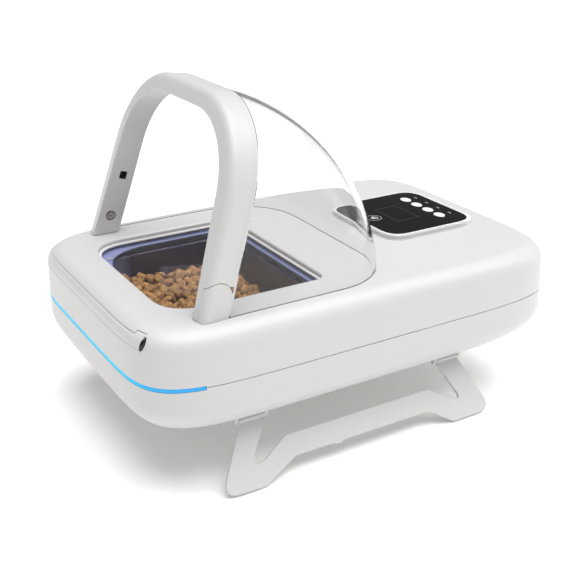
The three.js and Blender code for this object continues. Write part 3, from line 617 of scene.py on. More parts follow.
def food_brown():
    """Baked food: lumps of one brown or another, with a dusty crust in their relief, and painted shade that
    darkens the hollows of that relief.
    """
    if "Baked food" in bpy.data.materials:
        return bpy.data.materials["Baked food"]
    look = finishes()
    material, tree, surface = new_material("Baked food")
    places = node(tree, "ShaderNodeTexCoord").outputs["Object"]
    lump = node(tree, "ShaderNodeAttribute", attribute_name="lump")
    crust_and_shade = node(tree, "ShaderNodeTexNoise", [("Vector", places)], Scale=420.0, Detail=5.0, Roughness=0.65)
    pores = node(tree, "ShaderNodeTexVoronoi", [("Vector", places)], Scale=900.0)
    base = node(tree, "ShaderNodeMix", [(0, lump.outputs["Fac"])], data_type="RGBA")
    base.inputs[6].default_value = (*[0.72 * value for value in look.food], 1)
    base.inputs[7].default_value = (*[1.22 * value for value in look.food], 1)
    # Painted shade: where the crust's relief is low, the colour turns to the darker food colour.
    hollow = node(tree, "ShaderNodeMapRange", [("Value", crust_and_shade.outputs["Fac"])], From_Min=0.35, From_Max=0.62)
    hollow_shaded = node(tree, "ShaderNodeMix", [(0, hollow.outputs[0]), (7, base.outputs[2])], data_type="RGBA")
    hollow_shaded.inputs[6].default_value = (*look.food_hollow_shade, 1)
    height = node(
        tree, "ShaderNodeMath", [(0, crust_and_shade.outputs["Fac"]), (1, pores.outputs["Distance"])], operation="ADD"
    )
    relief = node(tree, "ShaderNodeBump", [("Height", height.outputs[0])], Strength=0.55, Distance=0.7 * MM)
    tree.links.new(hollow_shaded.outputs[2], surface.inputs["Base Color"])
    tree.links.new(relief.outputs["Normal"], surface.inputs["Normal"])
    surface.inputs["Roughness"].default_value = 0.72
    return material


def light_blue():
    """A lit strip that is a paler blue in front and deepens towards its right end."""
    if "Lit strip" in bpy.data.materials:
        return bpy.data.materials["Lit strip"]
    look = finishes()
    material, tree, surface = new_material("Lit strip")
    places = node(tree, "ShaderNodeTexCoord").outputs["Object"]
    split = node(tree, "ShaderNodeSeparateXYZ", [(0, places)])
    along = node(
        tree, "ShaderNodeMapRange", [("Value", split.outputs["X"])], From_Min=0.55 * HALF_X, From_Max=HALF_X
    )
    ramp = node(tree, "ShaderNodeMix", [(0, along.outputs[0])], data_type="RGBA")
    ramp.inputs[6].default_value = (*look.light_middle, 1)
    ramp.inputs[7].default_value = (*look.light_near, 1)
    tree.links.new(ramp.outputs[2], surface.inputs["Base Color"])
    tree.links.new(ramp.outputs[2], surface.inputs["Emission Color"])
    surface.inputs["Emission Strength"].default_value = 0.5
    surface.inputs["Roughness"].default_value = 0.4
    surface.inputs["Specular IOR Level"].default_value = 0.1
    return material


# ---------------------------------------------------------------- casings
def plan_point(turn, inset, z):
    """A point on the casing's plan, a rounded square drawn out by a power."""
    sizes = bpy.context.scene.feeder_casing
    bow = lambda value: math.copysign(abs(value) ** (2 / sizes.plan_power), value)
    return ((HALF_X - inset) * bow(math.cos(turn)), (HALF_Y - inset) * bow(math.sin(turn)), z)


def plan_ring(inset, z):
    steps = bpy.context.scene.feeder_casing.steps
    return [plan_point(2 * math.pi * (i + 0.5) / steps, inset, z) for i in range(steps)]


def side_inset(z):
    """How far the upper casing's outside lies inside the plan at a height."""
    sizes = bpy.context.scene.feeder_casing
    start = DECK - sizes.deck_round
    if z <= start:
        return sizes.draft * max(0, z - PARTING) / (start - PARTING)
    sine = min(1, 1 - (DECK - z) / sizes.deck_round)
    return sizes.draft + sizes.deck_round * (1 - math.sqrt(1 - sine * sine))


def upper_levels(grow, roof, steps=16):
    """(height, inset) pairs round the deck's edge."""
    sizes = bpy.context.scene.feeder_casing
    bend = sizes.deck_round - grow
    arcs = [math.pi / 2 * i / steps for i in range(steps + 1)]
    return [(roof - bend * (1 - math.sin(q)), grow + sizes.draft + bend * (1 - math.cos(q))) for q in arcs]


def belly_levels(grow, steps=18):
    """(height, inset) pairs round the belly's curve."""
    sizes = bpy.context.scene.feeder_casing
    run, rise = sizes.belly_run - grow, sizes.belly_rise - grow
    arcs = [math.pi / 2 * (1 - i / steps) for i in range(steps + 1)]
    return [(BELLY + grow + rise * (1 - math.sin(q)), grow + run * (1 - math.cos(q))) for q in arcs]


def plan_sweep(name, section, reach):
    """A section of (inset, height) points carried round the front of the casing, as far back as y = reach."""
    sizes = bpy.context.scene.feeder_casing
    start = math.asin(min(1, abs(reach) / HALF_Y) ** (sizes.plan_power / 2))
    count = 120
    turns = [-start - (math.pi - 2 * start) * i / count for i in range(count + 1)]
    return loft(name, [[plan_point(turn, inset, z) for inset, z in section] for turn in turns])


def make_upper_casing():
    sizes = bpy.context.scene.feeder_casing
    low = PARTING + sizes.seam / 2
    lip = 0.35 * MM
    outside = [(low, lip), (low + lip, 0.0)] + upper_levels(0, DECK)
    inside = [(low - MM, sizes.wall)] + upper_levels(sizes.wall, DECK - sizes.deck)
    made = loft("upper_shell", [plan_ring(inset, z) for z, inset in outside])
    combine(made, loft("hollow", [plan_ring(inset, z) for z, inset in inside]))
    lip = 1.6 * MM
    levels = [(DECK - 6 * MM, 0.0)]
    arcs = (0, 0.3, 0.6, 0.9, 1.2, 1.5708)
    levels += [(DECK - lip * (1 - math.sin(q)), lip * (1 - math.cos(q))) for q in arcs]
    levels.append((DECK + MM, lip))
    combine(made, loft("mouth", [[(p.x, p.y, z) for p in opening_line(grow)] for z, grow in levels]))
    combine(made, raised("panel_hole", panel_line(7 * MM), DECK - 6 * MM, DECK + MM))
    cut_for_light(made)
    gap = 0.55 * MM
    rear = -HALF_Y + sizes.deck_round + 2.4 * MM
    under = 0.06 * MM
    low, high = (BAR[0].x - gap, -FAR, BAR[0].z - under), (BAR[1].x + under, rear, BAR[1].z + gap)
    combine(made, cuboid("bar_room", low, high))
    tab = bar_tab()
    combine(made, cuboid("tab_room", (tab[0] - gap, -FAR, BAR[1].z), (tab[1] + under, rear, tab[2] + gap)))
    combine(made, slot_lens(1.0))
    return made


def opening_line(grow):
    """The outline of the opening in the deck, grown by this much."""
    x0, y0, x1, y1 = OPENING
    front, rear = OPENING_FRONT + grow, OPENING_REAR + grow
    return rectangle(x0 - grow, y0 - grow, x1 + grow, y1 + grow, front, rear, 14)


def panel_line(inset):
    """The outline of the panel's block, drawn in by this much."""
    low, high = PANEL_BOX
    corner = PANEL_ROUND - inset
    return rectangle(low.x + inset, low.y + inset, high.x - inset, high.y - inset, corner, steps=12)


def cut_for_light(made):
    """The groove that the light strip lies in, half in each casing."""
    half, depth = LIGHT_HALF + 0.12 * MM, 3.2 * MM
    low, high = PARTING - half, PARTING + half
    section = [(-MM, low), (depth, low), (depth, high), (-MM, high)]
    combine(made, plan_sweep("groove", section, LIGHT[1].y + 0.4 * MM))


def hinge_lug(x, near, far):
    """A lug under the belly, round below, that a stand's pin goes through."""
    radius, root = 2.0 * MM, BELLY + 5 * MM
    line = [(x - radius, root), (x - radius, STAND_AXIS.z)]
    for t in (math.pi * i / 12 for i in range(1, 12)):
        line.append((x - radius * math.cos(t), STAND_AXIS.z - radius * math.sin(t)))
    line += [(x + radius, STAND_AXIS.z), (x + radius, root)]
    return loft("lug", [[(px, y, pz) for px, pz in line] for y in (near, far)])


def make_lower_casing():
    sizes = bpy.context.scene.feeder_casing
    high = PARTING - sizes.seam / 2
    lip = 0.35 * MM
    outside = belly_levels(0) + [(high - lip, 0.0), (high, lip)]
    inside = belly_levels(sizes.wall) + [(high + MM, sizes.wall)]
    made = loft("lower_shell", [plan_ring(inset, z) for z, inset in outside])
    solid = made.copy()
    solid.data = made.data.copy()
    combine(made, loft("hollow", [plan_ring(inset, z) for z, inset in inside]))
    bosses = [
        raised("boss", circle(5 * MM, 32, middle(screw)), BELLY, high - 2 * MM) for screw in CASING_SCREWS
    ]
    tower = merge("bosses", bosses)
    bpy.context.scene.collection.objects.link(solid)
    combine(tower, solid, "INTERSECT")
    combine(made, tower, "UNION")
    for screw in CASING_SCREWS:
        bore = circle(4 * MM, 32, middle(screw))
        combine(made, raised("bore", bore, BELLY - MM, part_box(screw)[0].z + 2.6 * MM))
    for _, word in SIDES:
        for end in ENDS:
            pin = f"stand_pin_{word}_{end}"
            near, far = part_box(pin)[0].y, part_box(pin)[1].y
            for low_y, high_y in ((near + 2.6 * MM, near + 5 * MM), (far - 5 * MM, far - 2.6 * MM)):
                combine(made, hinge_lug(middle(pin).x, low_y, high_y), "UNION")
    cut_for_light(made)
    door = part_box("battery_door")
    gap = 0.4 * MM
    hole = rectangle(door[0].x - gap, door[0].y - gap, door[1].x + gap, door[1].y + gap, 4 * MM)
    combine(made, raised("door_hole", hole, BELLY - MM, BELLY + 4 * MM))
    return made


def bar_tab():
    """The raised end of the front bar: its two ends across, and its top."""
    return BAR[1].x - 8.5 * MM, BAR[1].x - 0.6 * MM, BAR[1].z + 1.5 * MM


def make_front_bar():
    """The rounded bar in the front edge, a little proud of the casing."""
    sizes = bpy.context.scene.feeder_casing
    low, high = BAR[0].z, BAR[1].z
    rows = 18
    outer = []
    for i in range(rows + 1):
        z = low + (high - low) * i / rows
        under, over = ease((z - low) / (2.6 * MM)), ease((high - z) / (0.5 * MM))
        back = 0.22 * MM * (1 - under) + 0.25 * MM * (1 - over)
        outer.append((side_inset(z) + back - sizes.bar_proud * under, z))
    inner = [(side_inset(high) + 3.2 * MM, high), (side_inset(low) + 3 * MM, low)]
    made = plan_sweep("front_bar", outer + inner, 100 * MM)
    keep = cuboid("keep", (BAR[0].x, -FAR, low - 10 * MM), (BAR[1].x, BAR[1].y, high + 10 * MM))
    combine(made, keep, "INTERSECT")
    tab = bar_tab()
    skin = [(side_inset(z) - 0.1 * MM, z) for z in (high - MM, high, high + 0.8 * MM, tab[2])]
    skin += [(side_inset(tab[2]) + 2 * MM, tab[2]), (side_inset(high) + 2.5 * MM, high - MM)]
    piece = plan_sweep("tab", skin, 100 * MM)
    combine(piece, cuboid("keep", (tab[0], -FAR, high - 2 * MM), (tab[1], 0, tab[2] + MM)), "INTERSECT")
    return combine(made, piece, "UNION")


def slot_lens(scale):
    """The slanted lens-shaped slot at the right end of the bar, as a solid."""
    z = (BAR[0].z + BAR[1].z) / 2 + 0.6 * MM
    x = BAR[1].x + 1.6 * MM
    power = bpy.context.scene.feeder_casing.plan_power
    depth = (HALF_Y - side_inset(z)) * (1 - (x / (HALF_X - side_inset(z))) ** power) ** (1 / power)
    rings = []
    steps = 16
    for i in range(1, steps):
        t = -1 + 2 * i / steps
        wide = (1 - t * t) * 1.9 * MM * scale
        rings.append([
            (wide * math.cos(a), 3.4 * MM * (1 - t * t) ** 0.5 * math.sin(a) * scale, 5.4 * MM * t * scale)
            for a in (2 * math.pi * k / 24 for k in range(24))
        ])
    made = loft("slot", rings)
    turn = Matrix.Translation((x, -depth, z)) @ Matrix.Rotation(math.radians(40), 4, "Z")
    tilt = Matrix.Rotation(math.radians(-34), 4, "X") @ Matrix.Rotation(math.radians(16), 4, "Y")
    return place(made, turn @ tilt)


class FEEDER_OT_casings(Operator):
    """Upper and lower casing, with their seam, edges, screw wells and hinge lugs"""

    bl_idname = "feeder.casings"
    bl_label = "Casings"

    def execute(self, context):
        upper = shade(make_upper_casing(), 30)
        finish(upper, "base", "shell_white", shell_white(), "upper_casing")
        lower = shade(make_lower_casing(), 30)
        finish(lower, "base", "shell_white", shell_white(), "lower_casing")
        well = place(slot_lens(0.985), Matrix.Translation((-0.9 * MM, 1.1 * MM, -0.6 * MM)))
        well.name = "slot_lens"
        finish(shade(well), "base", "black_gloss", sensor_black())
        return {"FINISHED"}


class FEEDER_OT_front(Operator):
    """Light strip round the front, and the bar in the front edge"""

    bl_idname = "feeder.front"
    bl_label = "Light and front bar"

    def execute(self, context):
        low, high = PARTING - LIGHT_HALF, PARTING + LIGHT_HALF
        section = [(3 * MM, low), (0.5 * MM, low), (0.1 * MM, low + 0.6 * MM), (0.02 * MM, PARTING)]
        section += [(0.1 * MM, high - 0.6 * MM), (0.5 * MM, high), (3 * MM, high)]
        strip = shade(plan_sweep("light_guide", section, LIGHT[1].y), 50)
        finish(strip, "base", "light_blue", light_blue(), "light_strip")
        bar = shade(make_front_bar(), 40)
        finish(bar, "release_bar", "shell_white", shell_white(), "release_bar")
        return {"FINISHED"}


# ---------------------------------------------------------------- arch and hood, in the leaning frame
def arch_matrix():
    return Matrix.Translation(PIVOT) @ Matrix.Rotation(-bpy.context.scene.feeder_arch.lean, 4, "X")


def arch_line(half_foot, half_top, top, shoulder, start, leg_steps=10, bend_steps=18):
    """Points (x, z) up the right leg, over the crown and down the left leg."""
    leg = Vector((half_top - half_foot, top)).normalized()
    turn = math.acos(-leg.x)
    bend = Vector((half_top, top)) - leg * (shoulder * math.tan(turn / 2))
    centre = Vector((bend.x - leg.y * shoulder, bend.y + leg.x * shoulder))
    first = math.atan2(bend.y - centre.y, bend.x - centre.x)
    half = []
    for i in range(leg_steps):
        up = start + (bend.y - start) * i / leg_steps
        half.append(Vector((half_foot + up * leg.x / leg.y, up)))
    for i in range(bend_steps + 1):
        q = first + (math.pi / 2 - first) * i / bend_steps
        half.append(centre + Vector((math.cos(q), math.sin(q))) * shoulder)
    return half + [Vector((-p.x, p.y)) for p in reversed(half)]


def grown_arch(grow, y, start):
    """The arch's inner line grown outwards, and flared towards its rear."""
    arch = bpy.context.scene.feeder_arch
    flare = arch.flare * (y + arch.depth / 2) / arch.depth
    return arch_line(
        arch.half_foot + grow, arch.half_top + grow + flare, arch.top + grow + flare,
        arch.shoulder + grow, start,
    )


def arch_band(name, section, start):
    """A closed section of (growth, y) points carried over the arch."""
    lines = [[(p.x, y, p.y) for p in grown_arch(grow, y, start)] for grow, y in section]
    rings = [[line[i] for line in lines] for i in range(len(lines[0]))]
    return loft(name, rings)


def leg_slope():
    """How far a leg leans out for each unit that it rises."""
    line = grown_arch(0, 0, 0)
    return (line[1].x - line[0].x) / (line[1].y - line[0].y)


def across(name, line, near, far, side):
    """A (y, z) outline carried across, between two planes that lean with the arch's leg."""
    slope = leg_slope()
    rings = [[(side * (x + slope * p.y), p.x, p.y) for p in line] for x in (near, far)]
    return loft(name, rings)


def knuckle_line(radius, front, rear, half, bottom):
    """The (y, z) outline of a knuckle: square shoulders in front and behind, round above."""
    first = math.asin(min(1, front / radius))
    last = math.asin(min(1, rear / radius))
    line = [Vector((half, bottom)), Vector((half, rear))]
    steps = 28
    for i in range(steps + 1):
        q = last + (math.pi - first - last) * i / steps
        line.append(Vector((radius * math.cos(q), radius * math.sin(q))))
    return line + [Vector((-half, front)), Vector((-half, bottom))]


def swing_room():
    """What cuts the ends of the legs: the deck, and behind the pivot a round and a slope that clear it."""
    gap = 0.5 * MM
    reach, full = PIVOT.z - DECK - gap, math.radians(33)
    line = [Vector((-FAR, DECK + gap))]
    for i in range(13):
        q = full * i / 12
        line.append(Vector((PIVOT.y + reach * math.sin(q), PIVOT.z - reach * math.cos(q))))
    end = line[-1] + Vector((math.cos(full), math.sin(full))) * 80 * MM
    line += [end, Vector((end.x, 0)), Vector((-FAR, 0))]
    return loft("swing_room", [[(x, p.x, p.y) for p in line] for x in (-FAR, FAR)])


def knuckle_room(side):
    """The room that a knuckle takes out of the arch's leg."""
    arch = bpy.context.scene.feeder_arch
    line = knuckle_line(arch.foot_radius + 0.45 * MM, 2.9 * MM, 8 * MM, 16 * MM, -50 * MM)
    near, far = arch.half_foot + arch.band / 2, arch.half_foot + arch.band + 6 * MM
    return across("knuckle_room", line, near, far, side)


def front_section(deep, grow):
    """The arch's section from its front: a flat face that falls back to a round outer edge."""
    arch = bpy.context.scene.feeder_arch
    front, out = -arch.depth / 2 - grow, arch.band + grow
    corners = [(0.0, front, 0.9 * MM), (out, front + arch.front_slant, arch.front_round)]
    corners += [(out, front + deep, 0), (0.0, front + deep, 0)]
    return [(p.x, p.y) for p in outline(corners, 12)]


def window_line(grow, corner):
    """The outline of a sensor window on the leg's inner face."""
    low, high = Vector((-1.5, 30.3)) * MM, Vector((3.5, 35.7)) * MM
    return rectangle(low.x - grow, low.y - grow, high.x + grow, high.y + grow, corner, steps=3)


def make_arch_front():
    """The front shell, with room for the knuckles, the screws and the sensor windows."""
    arch = bpy.context.scene.feeder_arch
    made = arch_band("arch_front", front_section(arch.depth - 2.5 * MM, 0), -40 * MM)
    well = circle(4.1 * MM, 40)
    window = window_line(0.4 * MM, 0.7 * MM)
    inside = arch.half_foot - 4 * MM
    for side in (-1, 1):
        combine(made, knuckle_room(side))
        combine(made, across("screw_well", well, inside, arch.half_foot + 2.6 * MM, side))
        combine(made, across("window_room", window, inside, arch.half_foot + 1.2 * MM, side))
    place(made, arch_matrix())
    return combine(made, swing_room())


def make_arch_rear():
    arch = bpy.context.scene.feeder_arch
    half, width = arch.depth / 2, arch.band
    edge = 0.35 * MM
    front = half - 2.42 * MM
    corners = [(0, front, 0), (width, front, 0), (width, half, edge), (0, half, edge)]
    made = arch_band("arch_rear", [(p.x, p.y) for p in outline(corners, 5)], -40 * MM)
    for side in (-1, 1):
        combine(made, knuckle_room(side))
    place(made, arch_matrix())
    return combine(made, swing_room())


def make_foot(side):
    arch = bpy.context.scene.feeder_arch
    line = knuckle_line(arch.foot_radius, 2.4 * MM, 0.0, arch.foot_radius + 0.3 * MM, -34 * MM)
    near, far = arch.half_foot + arch.band / 2 + 0.1 * MM, arch.half_foot + arch.band + MM
    made = across("foot", line, near, far, side)
    combine(made, arch_band("leg_form", front_section(arch.depth, -0.05 * MM), -44 * MM), "INTERSECT")
    place(made, arch_matrix())
    combine(made, cuboid("deck_room", (-FAR, -FAR, 0), (FAR, FAR, DECK + 0.1 * MM)))
    return soften(made, 0.4 * MM, 2, 50)


class FEEDER_OT_arch(Operator):
    """Antenna arch: front and rear shell, knuckles, sensor windows"""

    bl_idname = "feeder.arch"
    bl_label = "Arch"

    def execute(self, context):
        arch = context.scene.feeder_arch
        front = shade(make_arch_front(), 32)
        finish(front, "hood_arch", "shell_white", shell_white(), "arch_front_shell")
        rear = shade(make_arch_rear(), 40)
        finish(rear, "hood_arch", "shell_white", shell_white(), "arch_rear_shell")
        for side, word in SIDES:
            foot = shade(make_foot(side), 40)
            foot.name = f"knuckle_{word}"
            finish(foot, "base", "shell_white", shell_white(), f"arch_foot_{word}")
            near, far = arch.half_foot + 0.25 * MM, arch.half_foot + 1.1 * MM
            window = across(f"window_{word}", window_line(0, 0.5 * MM), near, far, side)
            place(window, arch_matrix())
            window = shade(soften(window, 0.2 * MM, 2))
            finish(window, "hood_arch", "black_gloss", sensor_black(), f"sensor_window_{word}")
        return {"FINISHED"}


def hood_shell(name, grow, start, first, last, steps=44):
    """The arch's rear outline, swept back and down about an axis at the deck."""
    arch, hood = bpy.context.scene.feeder_arch, bpy.context.scene.feeder_hood
    axis_z = arch.top + arch.band + arch.flare - hood.radius
    axis_y = arch.depth / 2 + 0.04 * MM
    rings = []
    for i in range(steps + 1):
        turn = math.radians(first + (last - first) * i / steps)
        part = ease(turn / math.radians(70))
        mix = lambda a, b: a + (b - a) * part
        line = arch_line(
            mix(arch.half_foot + arch.band + 2.3 * MM, hood.half + 0.5 * MM) + grow,
            mix(arch.half_top + arch.band + arch.flare, hood.half) + grow,
            hood.radius + grow,
            mix(arch.shoulder + arch.band, hood.corner) + grow,
            start, 10, 22,
        )
        rings.append([(p.x, axis_y + p.y * math.sin(turn), axis_z + p.y * math.cos(turn)) for p in line])
    return loft(name, rings)


class FEEDER_OT_hood(Operator):
    """Clear hood behind the arch"""

    bl_idname = "feeder.hood"
    bl_label = "Hood"

    def execute(self, context):
        wall = context.scene.feeder_hood.wall
        made = hood_shell("clear_hood", 0, 3 * MM, 0, 80)
        combine(made, hood_shell("inside", -wall, 1 * MM, -4, 84))
        place(made, arch_matrix())
        combine(made, cuboid("deck_room", (-FAR, -FAR, 0), (FAR, FAR, DECK + 0.4 * MM)))
        finish(shade(made, 30), "hood_arch", "clear", hood_clear(), "hood")
        return {"FINISHED"}


# ---------------------------------------------------------------- bowl, food and lid
def bowl_line(inset):
    """The bowl's outline, drawn in by this much."""
    low, high = BOWL
    front = max(6 * MM, 25.6 * MM - inset * 0.6)
    rear = max(6 * MM, 14 * MM - inset * 0.5)
    return rectangle(low.x + inset, low.y + inset, high.x - inset, high.y - inset, front, rear, 12)


def tub_levels(inset, bottom, foot, top, draft, steps=8):
    """(inset, height) pairs up a bowl's wall, from the floor's edge to the rim."""
    arcs = [math.pi / 2 * (1 - i / steps) for i in range(steps + 1)]
    levels = [(inset + draft + foot * (1 - math.cos(q)), bottom + foot * (1 - math.sin(q))) for q in arcs]
    return levels + [(inset, top)]


def make_bowl():
    sizes = bpy.context.scene.feeder_bowl
    low, high = BOWL
    rim = high.z
    outer = tub_levels(sizes.flange, low.z, sizes.foot, rim - 2 * MM, sizes.draft)
    flange = [(0.6 * MM, rim - 2 * MM), (0.0, rim - 1.4 * MM), (0.0, rim - 0.6 * MM), (0.5 * MM, rim)]
    inside = sizes.flange + sizes.wall
    lip = [(inside - 1.2 * MM, rim), (inside - 0.3 * MM, rim - 0.4 * MM)]
    inner = tub_levels(inside, low.z + sizes.wall, sizes.foot - 2 * MM, rim - 1.3 * MM, sizes.draft)
    levels = outer + flange + lip + inner[::-1]
    return loft("bowl", [[(p.x, p.y, z) for p in bowl_line(inset)] for inset, z in levels])


def make_lid_rim():
    """The frosted rim under the lid's edge, wider at its front corners."""
    low = LID[0].z
    x0, y0, x1, y1 = OPENING
    outer, inner = 2.2 * MM, 4.6 * MM
    ring = raised("ring", opening_line(outer), low - 2.2 * MM, low - 1.2 * MM)
    hole = rectangle(x0 + inner, y0 + inner, x1 - inner, y1 - inner, 42 * MM, 11 * MM, 16)
    return combine(ring, raised("hole", hole, low - 4 * MM, low + MM))


def rim_screw(side):
    """The middle of a screw's head, in a front corner of the lid's rim."""
    return Vector((side * (OPENING[2] - 19.5 * MM), OPENING[1] + 9 * MM, LID[0].z - 0.7 * MM))


def heap_height(x, y):
    """Top of the food: high in front, falling to the rear and a little to the sides."""
    low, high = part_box("kibble")
    across_share = x / ((high.x - low.x) / 2)
    along = (y - low.y) / (high.y - low.y)
    fall = 8 * MM * ease((along - 0.66) / 0.34) + 1.5 * MM * across_share ** 2
    ripple = 1.3 * MM * math.sin(x * 160 + 1.3) * math.cos(y * 120) + 1.2 * MM * math.sin(x * 310 - y * 260)
    return high.z - 1.2 * MM - fall + ripple


def heap_surface(name, inset, drop):
    """An open sheet that follows the top of the food at this depth."""
    low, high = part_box("kibble")
    line = bowl_line(9.5 * MM + inset)
    centre = Vector(((low.x + high.x) / 2, (low.y + high.y) / 2))
    rings = 14
    points = [(centre.x, centre.y, heap_height(centre.x, centre.y) - drop)]
    for r in range(1, rings + 1):
        for p in line:
            spot = centre + (p - centre) * (r / rings)
            points.append((spot.x, spot.y, heap_height(spot.x, spot.y) - drop))
    count = len(line)
    faces = [(0, 1 + i, 1 + (i + 1) % count) for i in range(count)]
    for r in range(rings - 1):
        for i in range(count):
            a, b = 1 + r * count + i, 1 + r * count + (i + 1) % count
            faces.append((a, a + count, b + count, b))
    mesh = bpy.data.meshes.new(name)
    mesh.from_pydata(points, [], faces)
    mesh.update()
    return add_object(name, mesh)


def tree_input(tree, label, kind, value):
    socket = tree.interface.new_socket(label, in_out="INPUT", socket_type=kind)
    socket.default_value = value
    return socket.identifier


def new_tree(name, inputs):
    """A geometry tree with a geometry in and out, and the identifiers of its named inputs."""
    tree = bpy.data.node_groups.new(name, "GeometryNodeTree")
    tree.interface.new_socket("Geometry", in_out="INPUT", socket_type="NodeSocketGeometry")
    names = {label: tree_input(tree, label, kind, value) for label, kind, value in inputs}
    tree.interface.new_socket("Geometry", in_out="OUTPUT", socket_type="NodeSocketGeometry")
    return tree, tree.nodes.new("NodeGroupInput"), tree.nodes.new("NodeGroupOutput"), names


def food_tree():
    """Scatters lumps of food over a surface."""
    tree, source, result, names = new_tree("Loose food", [
        ("Size", "NodeSocketFloat", 10 * MM), ("Spacing", "NodeSocketFloat", 6.5 * MM),
        ("Seed", "NodeSocketInt", 1), ("Material", "NodeSocketMaterial", None),
    ])
    spread = node(
        tree, "GeometryNodeDistributePointsOnFaces",
        [("Mesh", source.outputs["Geometry"]), ("Distance Min", source.outputs["Spacing"]),
         ("Seed", source.outputs["Seed"])],
        distribute_method="POISSON", Density_Max=60000.0,
    )
    lump = node(tree, "GeometryNodeMeshIcoSphere", Radius=0.5, Subdivisions=2)
    turn = node(tree, "FunctionNodeRandomValue", [("Seed", source.outputs["Seed"])], data_type="FLOAT_VECTOR")
    turn.inputs[0].default_value = (-0.8, -0.8, 0.0)
    turn.inputs[1].default_value = (0.8, 0.8, 6.28)
    grow = node(tree, "FunctionNodeRandomValue", [("Seed", source.outputs["Seed"])], data_type="FLOAT_VECTOR")
    grow.inputs[0].default_value = (0.82, 0.66, 0.52)
    grow.inputs[1].default_value = (1.16, 0.94, 0.72)
    scale = node(
        tree, "ShaderNodeVectorMath",
        [(0, grow.outputs[0]), ("Scale", source.outputs["Size"])], operation="SCALE",
    )
    put = node(
        tree, "GeometryNodeInstanceOnPoints",
        [("Points", spread.outputs["Points"]), ("Instance", lump.outputs["Mesh"]),
         ("Rotation", turn.outputs[0]), ("Scale", scale.outputs[0])],
    )
    shade_of = node(tree, "FunctionNodeRandomValue", [("Seed", source.outputs["Seed"])], data_type="FLOAT")
    keep = node(
        tree, "GeometryNodeStoreNamedAttribute",
        [("Geometry", put.outputs[0]), ("Value", shade_of.outputs[1])],
        data_type="FLOAT", domain="INSTANCE", Name="lump",
    )
    solid = node(tree, "GeometryNodeRealizeInstances", [("Geometry", keep.outputs[0])])
    dents = node(tree, "ShaderNodeTexNoise", Scale=210.0, Detail=2.0)
    centred = node(tree, "ShaderNodeMath", [(0, dents.outputs["Fac"])], operation="SUBTRACT")
    centred.inputs[1].default_value = 0.5
    deep = node(tree, "ShaderNodeMath", [(0, centred.outputs[0])], operation="MULTIPLY")
    deep.inputs[1].default_value = 6.2 * MM
    facing = node(tree, "GeometryNodeInputNormal")
    push = node(
        tree, "ShaderNodeVectorMath", [(0, facing.outputs[0]), ("Scale", deep.outputs[0])], operation="SCALE"
    )
    dented = node(
        tree, "GeometryNodeSetPosition", [("Geometry", solid.outputs[0]), ("Offset", push.outputs[0])]
    )
    smooth = node(tree, "GeometryNodeSetShadeSmooth", [("Geometry", dented.outputs[0])])
    paint = node(
        tree, "GeometryNodeSetMaterial",
        [("Geometry", smooth.outputs[0]), ("Material", source.outputs["Material"])],
    )
    tree.links.new(paint.outputs[0], result.inputs[0])
    return tree, names


def run_tree(made, tree, names, **values):
    """Runs a geometry tree on an object with these inputs, and keeps the result as its plain mesh."""
    change = made.modifiers.new("build", "NODES")
    change.node_group = tree
    for label, value in values.items():
        change[names[label.replace("_", " ")]] = value
    return settle(made)


class FEEDER_OT_bowl(Operator):
    """Bowl with its rim"""

    bl_idname = "feeder.bowl"
    bl_label = "Bowl"

    def execute(self, context):
        finish(shade(make_bowl(), 50), "base", "bowl_plum", bowl_plum(), "feed_bowl")
        return {"FINISHED"}


class FEEDER_OT_food(Operator):
    """Loose food in the bowl"""

    bl_idname = "feeder.food"
    bl_label = "Food"

    def execute(self, context):
        sizes = context.scene.feeder_bowl
        tree, names = food_tree()
        layers = []
        for layer, (inset, drop) in enumerate(((0.0, 2.5 * MM), (2 * MM, 7 * MM))):
            surface = heap_surface("food_layer", inset, drop)
            run_tree(
                surface, tree, names, Size=sizes.food_size, Spacing=sizes.food_gap, Seed=sizes.seed + layer,
                Material=food_brown(),
            )
            layers.append(surface)
        bed = heap_surface("bed", 2 * MM, 8 * MM)
        thick = bed.modifiers.new("thick", "SOLIDIFY")
        thick.thickness = 6 * MM
        thick.offset = -1
        settle(bed)
        layers.append(bed)
        heap = merge_keeping("loose_food", layers)
        heap.data.shade_smooth()
        finish(heap, "base", "kibble", food_brown(), "kibble")
        return {"FINISHED"}


def merge_keeping(name, objects):
    """Joins objects into one and keeps their attributes."""
    first = objects[0]
    with bpy.context.temp_override(
        active_object=first, object=first, selected_objects=objects, selected_editable_objects=objects
    ):
        bpy.ops.object.join()
    first.name = name
    first.data.name = name
    return first


class FEEDER_OT_lid(Operator):
    """Sliding lid with its frosted rim, and the seal round the opening"""

    bl_idname = "feeder.lid"
    bl_label = "Lid and seal"

    def execute(self, context):
        low, high = LID
        line = rectangle(low.x, low.y, high.x, high.y, 10 * MM, 5 * MM)
        pane = raised("tinted_lid", line, low.z, high.z)
        finish(shade(soften(pane, 0.3 * MM, 2)), "lid", "lid_tint", lid_tint(), "lid_pane")
        rim = shade(soften(make_lid_rim(), 0.3 * MM, 2), 40)
        rim.name = "lid_rim"
        finish(rim, "lid", "light_blue", rim_blue())
        seal_low, seal_high = SEAL[0].z, SEAL[1].z
        seal = raised("wiper_seal", opening_line(SEAL_SPREAD), seal_low, seal_high)
        lip = -1.9 * MM
        levels = [(seal_low - MM, lip), (seal_high - 0.5 * MM, lip), (seal_high, lip + 0.5 * MM)]
        levels.append((seal_high + MM, lip + 0.5 * MM))
        combine(seal, loft("mouth", [[(p.x, p.y, z) for p in opening_line(grow)] for z, grow in levels]))
        finish(shade(seal), "base", "seal_grey", seal_light(), "opening_seal")
        return {"FINISHED"}


